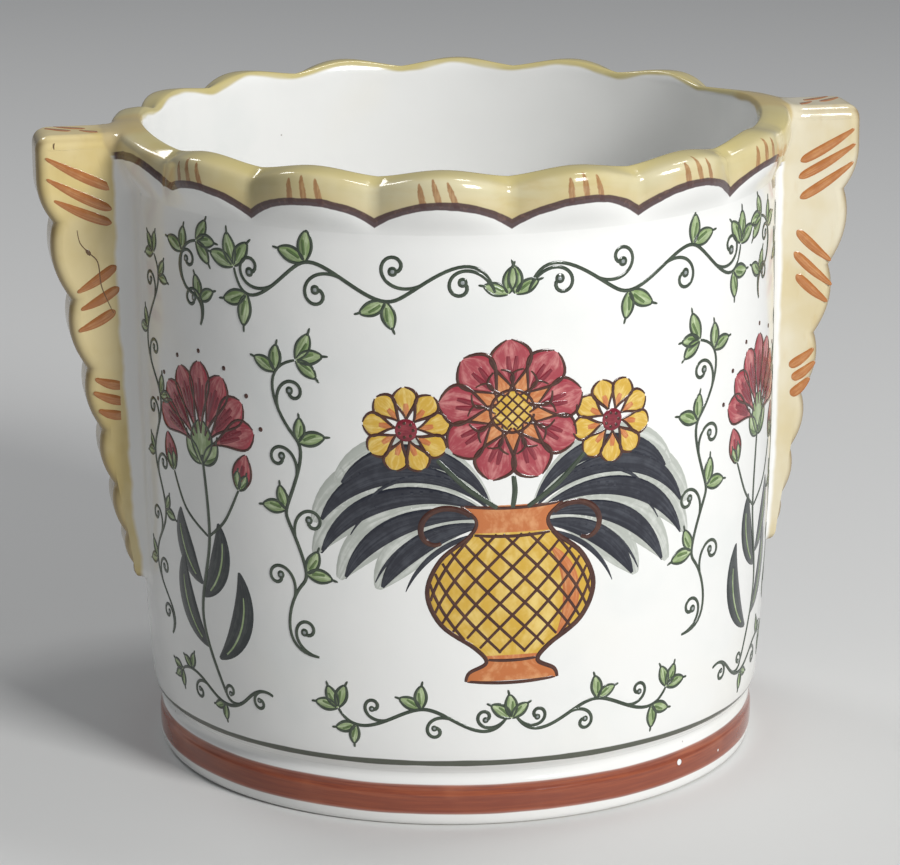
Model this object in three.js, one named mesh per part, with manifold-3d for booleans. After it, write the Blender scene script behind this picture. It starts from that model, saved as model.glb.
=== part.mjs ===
// A glazed earthenware flower pot: a swelling round body on a foot ring, with a scalloped rim
// and two flat wing handles with scalloped edges.
// Sizes are in millimetres. +Z is up, the handles lie along X and the front faces -Y.
// The origin is at the centre of the foot, on the surface that the pot stands on.

import * as THREE from "three";
import { mergeVertices } from "three/addons/utils/BufferGeometryUtils.js";
import Module from "manifold-3d";

const wasm = await Module();
wasm.setup();

// Fits between the pieces
const curvedGap = 0.3;

// Foot ring
const footHeight = 12.6;
const footRingWidth = 3.1;
const footBandSwell = 1.55;
const footBandHeight = 9.4;
const footEdgeRadius = 0.8;
const underFloorRecess = 6;

// Cove between the foot ring and the wall
const coveDepth = 2.8;
const coveRise = 2.4;
const coveLipRadius = 0.8;

// Wall and floor
const wallHeight = 121;
const wallFootRadius = 72;
const wallTopRadius = 75.2;
const wallBelly = 3.3;
const wallThickness = 5;
const floorThickness = 7;
const floorCornerRadius = 6;

// Register that centres the rim on the wall
const registerThickness = 2.6;
const registerHeight = 3;

// Rim
const rimHeight = 14;
const lobeCount = 16;
const lobeLift = 1.9;
const lobeSwell = 4.3;
const lipSetback = 3.5;

// Wing handles
const handleTopRise = 0.3;
const handleReach = 21.3;
const handleThickness = 16;
const handleEdgeRadius = 3;
const handleCornerRadius = 4;
const handleLobeCount = 7;
const handleLobeShrink = 0.902;
const handleLobeBulge = 0.125;
const handleShoulderStep = 3.5;
const handleShoulderStart = 0.78;
const handleTipHeight = 43;
const handleTipReach = 2.6;
const handleRootDepth = 16;

// Fineness of the round shapes
const lobeSteps = 6;
const wallSteps = 7;
const wallStepBias = 1.5;
const arcSteps = 3;
const outlineSteps = 6;
const turnSteps = lobeCount * lobeSteps;

// Levels and radii that follow from the sizes above
const wallStart = footHeight + coveRise;
const rimSeat = wallStart + wallHeight;
const valleyHeight = rimHeight - lobeLift;
const coveRadius = wallFootRadius - coveDepth;
const footInnerRadius = coveRadius - footRingWidth;
const spigotRadius = footInnerRadius - curvedGap;
const floorTop = underFloorRecess + floorThickness;
const innerTopRadius = wallTopRadius - wallThickness;
const registerRadius = innerTopRadius + registerThickness;

// Materials
const whiteGlaze = new THREE.MeshStandardMaterial({ color: 0xe8e8e6, roughness: 0.15, metalness: 0 });
const yellowGlaze = new THREE.MeshStandardMaterial({ color: 0xdccb96, roughness: 0.15, metalness: 0 });
const bandedGlaze = new THREE.MeshStandardMaterial({ color: 0x96503a, roughness: 0.15, metalness: 0 });

// Outer radius of the wall at a height: it swells quickly near the foot, then rises almost straight.
function wallRadius(height) {
  const share = (height - wallStart) / wallHeight;
  return wallFootRadius + (wallTopRadius - wallFootRadius) * (1 - Math.pow(1 - share, wallBelly));
}

// Points of a quarter arc in a section, from one angle to another, both in quarter turns.
function arc(centreRadius, centreHeight, radius, fromQuarter, toQuarter) {
  const points = [];
  for (let step = 0; step <= arcSteps; step += 1) {
    const angle = (fromQuarter + ((toQuarter - fromQuarter) * step) / arcSteps) * (Math.PI / 2);
    const across = centreRadius + radius * Math.cos(angle);
    const height = centreHeight + radius * Math.sin(angle);
    points.push(new THREE.Vector2(across, height));
  }
  return points;
}

// Outer points of the wall, from the cove's lip up to the rim's seat, set out by an allowance.
// They stand closer together near the foot, where the wall curves most.
function wallOutline(allowance) {
  const points = [];
  for (let step = 0; step <= wallSteps; step += 1) {
    const share = Math.pow(step / wallSteps, wallStepBias);
    const height = wallStart + wallHeight * share;
    points.push(new THREE.Vector2(wallRadius(height) + allowance, height));
  }
  return points;
}

// A section turned round the upright axis, with its first step at the front.
function turned(section) {
  const geometry = new THREE.LatheGeometry(section, turnSteps);
  geometry.rotateX(Math.PI / 2);
  return geometry;
}

// The rim's outer and inner sides where two lobes meet. Each point gives its distance in from the
// wall as a share of the lip's setback and its height as a share of the valley's, then how much of
// the swell and the lift a lobe's middle adds, and how crisp the scallop is there.
const rimSection = [
  { inward: 0.02, height: 0.07, swell: 0.17, lift: 0.42, crisp: 1 },
  { inward: 0.03, height: 0.25, swell: 0.58, lift: 0.84, crisp: 0.9 },
  { inward: 0.11, height: 0.46, swell: 0.9, lift: 0.95, crisp: 0.7 },
  { inward: 0.23, height: 0.66, swell: 1, lift: 1.05, crisp: 0.6 },
  { inward: 0.49, height: 0.84, swell: 0.93, lift: 1.08, crisp: 0.45 },
  { inward: 0.74, height: 0.96, swell: 0.63, lift: 1.05, crisp: 0.35 },
  { inward: 1, height: 1, swell: 0.26, lift: 1, crisp: 0.3 },
  { inward: 1.23, height: 0.97, swell: 0.16, lift: 0.95, crisp: 0.2 },
  { inward: 1.34, height: 0.85, swell: 0.07, lift: 0.47, crisp: 0 },
  { inward: 1.36, height: 0.62, swell: 0.02, lift: 0.1, crisp: 0 },
];
const rowsUnderHandle = 5;

// A turned section whose points also carry the scallops: each lobe swells out and lifts up.
function scalloped(section) {
  const flat = section.map((point) => new THREE.Vector2(point.radius, point.height));
  const geometry = new THREE.LatheGeometry(flat, turnSteps);
  const position = geometry.getAttribute("position");
  for (let step = 0; step <= turnSteps; step += 1) {
    const across = ((step % lobeSteps) / lobeSteps) * 2 - 1;
    const crispLobe = 1 - across * across;
    const softLobe = (1 + Math.cos(Math.PI * across)) / 2;
    const angle = (2 * Math.PI * step) / turnSteps;
    section.forEach((point, index) => {
      const lobe = point.crisp * crispLobe + (1 - point.crisp) * softLobe;
      const radius = point.radius + point.swell * lobe;
      const height = point.height + point.lift * lobe;
      const vertex = step * section.length + index;
      position.setXYZ(vertex, radius * Math.sin(angle), height, radius * Math.cos(angle));
    });
  }
  geometry.rotateX(Math.PI / 2);
  return geometry;
}

// A plain point of a scalloped section, which the lobes don't move.
function still(radius, height) {
  return { radius, height, swell: 0, lift: 0, crisp: 0 };
}

// The rim section's points at their real sizes, set out and up by an allowance.
function rimPoints(count, allowance) {
  return rimSection.slice(0, count).map((point) => ({
    radius: wallTopRadius - point.inward * lipSetback + allowance,
    height: rimSeat + point.height * valleyHeight + allowance,
    swell: point.swell * lobeSwell,
    lift: point.lift * lobeLift,
    crisp: point.crisp,
  }));
}

// The foot ring's outer side, from the standing face up to the cove. Each point gives its distance
// out from the cove as a share of the band's swell and its height as a share of the band's.
const footSection = [
  { out: 0.3, height: 0 },
  { out: 0.7, height: 0.05 },
  { out: 0.9, height: 0.2 },
  { out: 1, height: 0.54 },
  { out: 0.75, height: 1 },
  { out: 0.25, height: 1.12 },
];

// A ring with a swelling outer band, a flat top that the body sits on and a flat standing face.
function footRing() {
  const outside = footSection.map(
    (point) => new THREE.Vector2(coveRadius + point.out * footBandSwell, point.height * footBandHeight),
  );
  const section = [
    new THREE.Vector2(footInnerRadius + footEdgeRadius, 0),
    ...outside,
    new THREE.Vector2(coveRadius, footHeight),
    new THREE.Vector2(footInnerRadius, footHeight),
    new THREE.Vector2(footInnerRadius, footEdgeRadius),
  ];
  section.push(section[0].clone());
  return turned(section);
}

// The cup: a wall and a floor with a spigot in the foot ring, and a register for the rim on top.
function potBody() {
  const coveCurve = coveRise - coveLipRadius;
  const lipCentre = wallFootRadius - coveLipRadius;
  const innerFloorRadius = wallRadius(wallStart) - wallThickness;
  const inside = wallOutline(-wallThickness).filter((point) => point.y > floorTop + floorCornerRadius);
  const section = [
    new THREE.Vector2(0, underFloorRecess),
    new THREE.Vector2(spigotRadius, underFloorRecess),
    new THREE.Vector2(spigotRadius, footHeight),
    ...arc(coveRadius + coveCurve, footHeight, coveCurve, 2, 1),
    ...arc(lipCentre, wallStart, coveLipRadius, -1, 0),
    ...wallOutline(0).slice(1),
    new THREE.Vector2(registerRadius, rimSeat),
    new THREE.Vector2(registerRadius, rimSeat + registerHeight),
    new THREE.Vector2(innerTopRadius, rimSeat + registerHeight),
    ...inside.reverse(),
    ...arc(innerFloorRadius - floorCornerRadius, floorTop + floorCornerRadius, floorCornerRadius, 0, -1),
    new THREE.Vector2(0, floorTop),
  ];
  return turned(section);
}

// The rim: a scalloped collar that sits on the wall's flat top, round the register.
function rimCollar() {
  const recessRadius = registerRadius + curvedGap;
  const recessTop = rimSeat + registerHeight + curvedGap;
  const section = [
    still(wallTopRadius, rimSeat),
    ...rimPoints(rimSection.length, 0),
    still(innerTopRadius, recessTop),
    still(recessRadius, recessTop),
    still(recessRadius, rimSeat),
    still(wallTopRadius, rimSeat),
  ];
  return scalloped(section);
}

// A solid that holds the wall and the rim with the gap that a handle keeps from them.
function keepOut() {
  const lipPoints = rimPoints(rowsUnderHandle, curvedGap);
  const last = lipPoints[lipPoints.length - 1];
  const above = rimSeat + 2 * rimHeight;
  const section = [
    still(0, wallStart),
    ...wallOutline(curvedGap).map((point) => still(point.x, point.y)),
    ...lipPoints,
    { ...last, height: above, lift: 0 },
    still(0, above),
  ];
  return scalloped(section);
}

// A closed mesh as a solid that can be joined and cut.
function toSolid(geometry) {
  const bare = new THREE.BufferGeometry();
  bare.setAttribute("position", geometry.getAttribute("position"));
  if (geometry.index) {
    bare.setIndex(geometry.index);
  }
  const merged = mergeVertices(bare, 1e-4);
  const corners = [];
  for (let start = 0; start < merged.index.count; start += 3) {
    const [a, b, c] = [0, 1, 2].map((offset) => merged.index.getX(start + offset));
    if (a !== b && b !== c && c !== a) {
      corners.push(a, b, c);
    }
  }
  const vertProperties = new Float32Array(merged.getAttribute("position").array);
  return new wasm.Manifold(new wasm.Mesh({ numProp: 3, vertProperties, triVerts: new Uint32Array(corners) }));
}

// A solid back as a mesh geometry.
function toGeometry(solid) {
  const { vertProperties, triVerts } = solid.getMesh();
  const geometry = new THREE.BufferGeometry();
  geometry.setAttribute("position", new THREE.BufferAttribute(new Float32Array(vertProperties), 3));
  geometry.setIndex(new THREE.BufferAttribute(new Uint32Array(triVerts), 1));
  geometry.computeVertexNormals();
  return geometry;
}

// The handle's outline in its own plane: a level top, a round corner and lobes that grow smaller
// down to a tip that runs into the wall.
function handleOutline() {
  const top = rimSeat + valleyHeight + handleTopRise;
  const reach = wallTopRadius + handleReach;
  const tip = new THREE.Vector2(wallRadius(handleTipHeight) + handleTipReach, handleTipHeight);
  const root = wallRadius(handleTipHeight) - handleRootDepth;

  let shares = 0;
  for (let lobe = 0; lobe < handleLobeCount; lobe += 1) {
    shares += Math.pow(handleLobeShrink, lobe);
  }
  const firstLobe = (top - handleTipHeight) / shares;
  const shoulder = new THREE.Vector2(reach - handleShoulderStep, top - firstLobe);
  const edge = (height) => tip.x + ((shoulder.x - tip.x) * (height - tip.y)) / (shoulder.y - tip.y);

  const shape = new THREE.Shape();
  shape.moveTo(root, top);
  shape.lineTo(reach - handleCornerRadius, top);
  shape.quadraticCurveTo(reach, top, reach, top - handleCornerRadius);
  shape.lineTo(reach, top - firstLobe / 2);
  shape.quadraticCurveTo(reach, top - firstLobe * handleShoulderStart, shoulder.x, shoulder.y);
  let height = shoulder.y;
  for (let lobe = 1; lobe < handleLobeCount; lobe += 1) {
    const fall = firstLobe * Math.pow(handleLobeShrink, lobe);
    const middle = height - fall / 2;
    const bulge = 2 * handleLobeBulge * fall;
    shape.quadraticCurveTo(edge(middle) + bulge, middle, edge(height - fall), height - fall);
    height -= fall;
  }
  shape.lineTo(root, handleTipHeight - handleThickness / 2);
  shape.closePath();
  return shape;
}

// A wing handle on the +X side: the outline as a thick plate with rounded edges, cut to the pot.
function wingHandle() {
  const depth = handleThickness - 2 * handleEdgeRadius;
  const plate = new THREE.ExtrudeGeometry(handleOutline(), {
    depth,
    bevelThickness: handleEdgeRadius,
    bevelSize: handleEdgeRadius,
    bevelOffset: -handleEdgeRadius,
    bevelSegments: arcSteps,
    curveSegments: outlineSteps,
  });
  plate.rotateX(Math.PI / 2);
  plate.translate(0, depth / 2, 0);
  return toGeometry(toSolid(plate).subtract(toSolid(keepOut())));
}

// The pot, put together
const flowerPot = new THREE.Group();

function add(name, geometry, material) {
  const mesh = new THREE.Mesh(geometry, material);
  mesh.name = name;
  flowerPot.add(mesh);
  return mesh;
}

add("foot_ring", footRing(), bandedGlaze);
add("pot_body", potBody(), whiteGlaze);
add("rim_collar", rimCollar(), yellowGlaze);
add("right_wing_handle", wingHandle(), yellowGlaze);
add("left_wing_handle", wingHandle(), yellowGlaze).rotation.z = Math.PI;

export default flowerPot;
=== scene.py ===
"""Looks for the glazed earthenware flower pot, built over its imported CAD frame.

The pot shell, foot ring and wing handles replace their CAD nodes with finer meshes of the same
form. The painted decoration is a set of thin films that lie on the glaze, one piece to a pigment.
Sizes in the classes are in millimetres; everything that reaches Blender is in metres.
"""

import logging
import math
import random
from collections.abc import Callable, Sequence
from dataclasses import dataclass
from enum import Enum

import bmesh
import bpy
from mathutils import Matrix, Vector, noise

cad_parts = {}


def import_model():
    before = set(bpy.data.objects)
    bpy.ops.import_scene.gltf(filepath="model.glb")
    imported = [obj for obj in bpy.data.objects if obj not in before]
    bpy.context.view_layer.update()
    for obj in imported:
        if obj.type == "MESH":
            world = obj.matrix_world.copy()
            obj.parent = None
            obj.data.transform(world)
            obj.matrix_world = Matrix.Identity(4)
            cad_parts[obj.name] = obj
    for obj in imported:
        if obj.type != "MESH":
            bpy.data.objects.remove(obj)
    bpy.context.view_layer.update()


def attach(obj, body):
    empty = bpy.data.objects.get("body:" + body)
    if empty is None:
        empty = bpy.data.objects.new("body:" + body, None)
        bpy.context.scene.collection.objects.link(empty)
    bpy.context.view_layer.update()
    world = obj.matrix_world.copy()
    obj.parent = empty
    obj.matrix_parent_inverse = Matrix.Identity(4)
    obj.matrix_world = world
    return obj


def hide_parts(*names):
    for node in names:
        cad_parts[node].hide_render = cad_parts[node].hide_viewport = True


MM = 0.001
# Distances round the wall are measured on this radius
MEAN_RADIUS = 74.5
GLAZE_GLOSS = 0.13
GLAZE_INDEX = 1.52

Point = tuple[float, float]
Colour = tuple[float, float, float, float]
Span = tuple[float, float, float, float]
Surface = Callable[[float, float, float], Vector]

log = logging.getLogger("flower_pot")


# Shader expressions


def seen(red: float, green: float, blue: float) -> Colour:
    """Turns a colour as the eye sees it into the linear colour that a shader takes.

    Args:
        red: Red, from 0 to 255.
        green: Green.
        blue: Blue.

    Returns:
        The colour, with its alpha.
    """

    def linear(part: float) -> float:
        """Turns one part of the colour."""
        share = part / 255
        return share / 12.92 if share <= 0.04045 else ((share + 0.055) / 1.055) ** 2.4

    return (linear(red), linear(green), linear(blue), 1.0)


class Signal:
    """A shader socket that takes part in Python arithmetic."""

    def __init__(self, shader: "Shader", socket: bpy.types.NodeSocket) -> None:
        """Keeps the socket with the shader that it is in."""
        self.shader = shader
        self.socket = socket

    def math(self, operation: str, *others: "Signal | float") -> "Signal":
        """Applies a Math node's operation to this signal and others.

        Args:
            operation: The Math node's operation.
            others: The second and third operands, where the operation has them.

        Returns:
            The result.
        """
        inputs = dict(enumerate((self, *others)))
        return self.shader.number("ShaderNodeMath", {"operation": operation}, inputs)

    def __add__(self, other: "Signal | float") -> "Signal":
        """Adds."""
        return self.math("ADD", other)

    __radd__ = __add__

    def __sub__(self, other: "Signal | float") -> "Signal":
        """Takes away."""
        return self.math("SUBTRACT", other)

    def __rsub__(self, other: float) -> "Signal":
        """Takes this signal away from a number."""
        return self.shader.number("ShaderNodeMath", {"operation": "SUBTRACT"}, {0: other, 1: self})

    def __mul__(self, other: "Signal | float") -> "Signal":
        """Multiplies."""
        return self.math("MULTIPLY", other)

    __rmul__ = __mul__

    def __truediv__(self, other: "Signal | float") -> "Signal":
        """Divides."""
        return self.math("DIVIDE", other)

    def __abs__(self) -> "Signal":
        """Drops the sign."""
        return self.math("ABSOLUTE")


class Shader:
    """One material's node tree, with short ways to add the nodes that the finishes use."""

    def __init__(self, name: str) -> None:
        """Starts a material with an empty tree.

        Args:
            name: The material's name.
        """
        self.material = bpy.data.materials.new(name)
        self.material.use_nodes = True
        self.tree = self.material.node_tree
        self.tree.nodes.clear()

    def node(self, kind: str, settings: dict | None = None, inputs: dict | None = None) -> bpy.types.Node:
        """Adds a node.

        Args:
            kind: The node's type.
            settings: Properties of the node, set first.
            inputs: Values, sockets or signals by input name or number.

        Returns:
            The new node.
        """
        node = self.tree.nodes.new(kind)
        for name, value in (settings or {}).items():
            setattr(node, name, value)
        for key, value in (inputs or {}).items():
            socket = node.inputs[key]
            if isinstance(value, Signal):
                value = value.socket
            if isinstance(value, bpy.types.NodeSocket):
                self.tree.links.new(value, socket)
            else:
                socket.default_value = value
        return node

    def number(self, kind: str, settings: dict | None = None, inputs: dict | None = None) -> Signal:
        """Adds a node and returns its first output as a signal."""
        return Signal(self, self.node(kind, settings, inputs).outputs[0])

    def place(self) -> tuple[Signal, Signal, Signal]:
        """Gives the object position in millimetres, as three signals."""
        coordinates = self.node("ShaderNodeTexCoord").outputs["Object"]
        return tuple(axis * (1 / MM) for axis in self.split(coordinates))

    def split(self, vector: bpy.types.NodeSocket) -> tuple[Signal, Signal, Signal]:
        """Splits a vector into three signals."""
        parts = self.node("ShaderNodeSeparateXYZ", inputs={0: vector}).outputs
        return (Signal(self, parts[0]), Signal(self, parts[1]), Signal(self, parts[2]))

    def vector(self, x: Signal | float, y: Signal | float, z: Signal | float) -> bpy.types.NodeSocket:
        """Joins three signals into a vector."""
        return self.node("ShaderNodeCombineXYZ", inputs={0: x, 1: y, 2: z}).outputs[0]

    def noise(
        self, vector: bpy.types.NodeSocket, scale: float, detail: float = 2.0, rough: float = 0.5
    ) -> Signal:
        """Adds a noise texture, from 0 to 1 about 0.5."""
        inputs = {"Vector": vector, "Scale": scale, "Detail": detail, "Roughness": rough}
        return self.number("ShaderNodeTexNoise", inputs=inputs)

    def ease(self, value: Signal, low: float, high: float) -> Signal:
        """Rises smoothly from 0 where the value is low to 1 where it is high."""
        inputs = {"Value": value, "From Min": low, "From Max": high}
        return self.number("ShaderNodeMapRange", {"interpolation_type": "SMOOTHSTEP"}, inputs)

    def span(self, value: Signal, stops: Span) -> Signal:
        """Rises smoothly to 1 over the first two stops, and falls to 0 again over the last two."""
        return self.ease(value, stops[0], stops[1]) - self.ease(value, stops[2], stops[3])

    def mix(self, share: Signal, first: object, second: object) -> bpy.types.NodeSocket:
        """Mixes two colours, given as values or sockets."""
        node = self.node("ShaderNodeMix", {"data_type": "RGBA"}, {0: share, 6: first, 7: second})
        return node.outputs[2]

    def finish(
        self,
        colour: object,
        roughness: object,
        height: Signal,
        depth: float,
    ) -> bpy.types.Material:
        """Ends the tree in a glazed surface.

        Args:
            colour: Base colour, a value or a socket.
            roughness: Roughness of the glaze.
            height: Bump height, from 0 to 1.
            depth: What a bump height of 1 stands for, in millimetres.

        Returns:
            The finished material.
        """
        waves = {"Strength": 1.0, "Distance": depth * MM, "Height": height}
        bump = self.node("ShaderNodeBump", inputs=waves)
        glaze = {
            "Base Color": colour,
            "Roughness": roughness,
            "Normal": bump.outputs[0],
            "IOR": GLAZE_INDEX,
        }
        surface = self.node("ShaderNodeBsdfPrincipled", inputs=glaze)
        output = self.node("ShaderNodeOutputMaterial")
        self.tree.links.new(surface.outputs[0], output.inputs[0])
        return self.material


# The pot's form


def spline(a: float, b: float, c: float, d: float, t: float) -> float:
    """Gives the value at a share t of the way from b to c on a smooth curve through four values."""
    return 0.5 * (2 * b + (c - a) * t + (2 * a - 5 * b + 4 * c - d) * t**2 + (3 * b - a - 3 * c + d) * t**3)


def flow(rows: Sequence[Sequence[float]], steps: int) -> list[tuple[float, ...]]:
    """Runs a smooth Catmull-Rom curve through rows of numbers.

    Args:
        rows: The rows to pass through.
        steps: How many steps each stretch between two rows takes.

    Returns:
        The rows of the curve, ends included.
    """
    curve = []
    last = len(rows) - 1
    for index in range(last):
        around = [rows[min(max(index + shift, 0), last)] for shift in (-1, 0, 1, 2)]
        for step in range(steps):
            curve.append(tuple(spline(*values, step / steps) for values in zip(*around)))
    curve.append(tuple(rows[last]))
    return curve


@dataclass(frozen=True)
class SectionPoint:
    """One point of the pot's section, with how the lobes of the rim move it."""

    radius: float
    height: float
    swell: float = 0.0
    lift: float = 0.0
    crisp: float = 0.0


def rise(value: float, low: float, high: float) -> float:
    """Rises smoothly from 0 where the value is low to 1 where it is high."""
    share = min(max((value - low) / (high - low), 0.0), 1.0)
    return share * share * (3 - 2 * share)


# The caster's hand, the same at each run: how full and how tall each lobe comes out
CASTING = random.Random(11)


@dataclass(frozen=True)
class PotForm:
    """The sizes that the shell, the foot, the handles and the decoration share."""

    foot_height: float = 12.6
    under_floor_recess: float = 6.0
    wall_start: float = 15.0
    cove_radius: float = 70.15
    cove_rows: tuple[Point, ...] = (
        (70.15, 12.6),
        (70.45, 13.15),
        (70.95, 13.7),
        (71.45, 14.25),
        (71.82, 14.75),
        (72.0, 15.25),
    )
    wall_height: float = 121.0
    wall_foot_radius: float = 72.0
    wall_top_radius: float = 75.2
    wall_belly: float = 3.3
    wall_thickness: float = 5.0
    floor_top: float = 13.0
    floor_corner_radius: float = 6.0
    spigot_radius: float = 65.8
    rim_height: float = 14.0
    lobe_count: int = 16
    lobe_lift: float = 1.9
    lobe_swell: float = 4.0
    lip_setback: float = 3.5
    filled_notch: float = 0.6
    notch_turns: Point = (1.0, 1.18)
    full_shoulder: float = 0.9
    shoulder_start: Point = (1.6, 1.72)
    shoulder_end: Point = (1.84, 1.95)
    rim_rows: tuple[tuple[float, ...], ...] = (
        (0.0, 0.0, 0.0, 0.0, 1.0),
        (-0.03, 0.07, 0.17, 0.42, 1.0),
        (-0.09, 0.25, 0.58, 0.84, 0.9),
        (-0.1, 0.46, 0.88, 0.95, 0.75),
        (-0.03, 0.64, 0.98, 1.1, 0.75),
        (0.03, 0.76, 0.99, 1.3, 0.75),
        (0.17, 0.832, 0.94, 1.55, 0.73),
        (0.4, 0.874, 0.8, 1.62, 0.7),
        (0.74, 0.945, 0.5, 1.32, 0.6),
        (1.0, 0.99, 0.3, 1.04, 0.45),
        (1.2, 0.98, 0.19, 0.96, 0.2),
        (1.33, 0.88, 0.09, 0.55, 0.0),
        (1.36, 0.62, 0.02, 0.1, 0.0),
        (1.4, 0.3, 0.0, 0.0, 0.0),
        (1.43, 0.0, 0.0, 0.0, 0.0),
    )
    habits: tuple[Point, ...] = tuple(
        (CASTING.uniform(0.9, 1.03), CASTING.uniform(0.82, 1.0)) for _ in range(lobe_count)
    )
    unevenness: float = 0.18

    @property
    def rim_seat(self) -> float:
        """Height where the rim starts."""
        return self.wall_start + self.wall_height

    def wall_radius(self, height: float) -> float:
        """Gives the wall's outer radius at a height.

        Args:
            height: Height above the standing face.

        Returns:
            The radius.
        """
        share = min(max((height - self.wall_start) / self.wall_height, 0.0), 1.0)
        growth = 1 - (1 - share) ** self.wall_belly
        return self.wall_foot_radius + (self.wall_top_radius - self.wall_foot_radius) * growth

    def rim_section(self, steps: int) -> list[SectionPoint]:
        """Gives the rim's section from the wall's top over the crest to the inner wall.

        Args:
            steps: Steps between two of the section's rows.

        Returns:
            The section's points, with their shares of the lobes.
        """
        valley = self.rim_height - self.lobe_lift
        return [
            SectionPoint(
                self.wall_top_radius - inward * self.lip_setback,
                self.rim_seat + height * valley,
                swell * self.lobe_swell,
                lift * self.lobe_lift,
                crisp,
            )
            for inward, height, swell, lift, crisp in flow(self.rim_rows, steps)
        ]

    def lobed(self, point: SectionPoint, turn: float) -> Point:
        """Gives a section point's radius and height at an angle round the pot.

        Args:
            point: The point of the section.
            turn: Angle from the front in radians.

        Returns:
            Radius and height.
        """
        index, across = self.lobe_at(turn)
        full, tall = self.habits[index]
        crisp = 1 - across * across
        soft = (1 + math.cos(math.pi * across)) / 2
        lobe = point.crisp * crisp + (1 - point.crisp) * soft
        if turn < math.pi / 2:
            lobe += (1 - lobe) * self.filled_notch * rise(turn, *self.notch_turns)
        shoulder = rise(-turn, *self.shoulder_start) * (1 - rise(-turn, *self.shoulder_end))
        lobe += (1 - lobe) * self.full_shoulder * shoulder
        height = point.height + point.lift * lobe * tall
        return (point.radius + point.swell * lobe * full + self.wobble(turn, height), height)

    def lobe_at(self, turn: float) -> tuple[int, float]:
        """Finds the lobe at an angle; the two that carry the handles are twice as wide.

        Args:
            turn: Angle from the front in radians.

        Returns:
            The lobe's number, and the place across it from -1 to 1.
        """
        lobes = turn / (2 * math.pi) * self.lobe_count
        for middle in (self.lobe_count // 4, -self.lobe_count // 4):
            if abs(lobes - middle) < 1:
                return (middle, lobes - middle)
        return (math.floor(lobes), lobes % 1 * 2 - 1)

    def wobble(self, turn: float, height: float) -> float:
        """Gives how far the hand-cast surface strays from the true round, nought at the foot."""
        spot = Vector((math.sin(turn), math.cos(turn), height / 60)) * 1.7
        return noise.noise(spot) * self.unevenness * min(max((height - self.wall_start) / 3, 0.0), 1.0)

    def on_wall(self, along: float, height: float, lift: float) -> Vector:
        """Gives a point on the wall.

        Args:
            along: Distance round the wall from the front, on the mean radius.
            height: Height above the standing face.
            lift: Distance out from the surface.

        Returns:
            The position in metres.
        """
        turn = along / MEAN_RADIUS
        radius = self.wall_radius(height) + self.wobble(turn, height) + lift
        return Vector((radius * math.sin(turn), -radius * math.cos(turn), height)) * MM


FORM = PotForm()


def new_piece(name: str, bm: bmesh.types.BMesh, material: bpy.types.Material) -> bpy.types.Object:
    """Turns a bmesh into a smooth piece that rides on the pot.

    Args:
        name: The piece's name.
        bm: Its mesh, which is freed.
        material: Its finish.

    Returns:
        The object.
    """
    mesh = bpy.data.meshes.new(name)
    for face in bm.faces:
        face.smooth = True
    for edge in bm.edges:
        if edge.is_boundary:
            edge.smooth = False
    bm.to_mesh(mesh)
    bm.free()
    mesh.materials.append(material)
    piece = bpy.data.objects.new(name, mesh)
    bpy.context.scene.collection.objects.link(piece)
    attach(piece, "root")
    return piece


# Glazes


@dataclass(frozen=True)
class GlazeColours:
    """Colours of the glazes and of the lines that are banded on."""

    white: Colour = seen(233, 233, 230)
    white_pool: Colour = seen(214, 219, 217)
    white_warm: Colour = seen(234, 228, 212)
    cream: Colour = seen(208, 199, 163)
    straw: Colour = seen(196, 183, 136)
    # Painted shade: the darker colour laid on the rim's top, above its outer corner
    crest: Colour = seen(194, 180, 120)
    ochre: Colour = seen(190, 158, 90)
    line: Colour = seen(70, 46, 48)
    line_thin: Colour = seen(116, 84, 74)
    tick: Colour = seen(146, 98, 58)
    tick_thin: Colour = seen(174, 132, 88)
    green: Colour = seen(62, 66, 50)
    band: Colour = seen(158, 80, 46)
    band_dark: Colour = seen(128, 58, 36)
    band_thin: Colour = seen(182, 106, 70)
    clay: Colour = seen(205, 188, 160)
    speck: Colour = seen(120, 100, 84)


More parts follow.
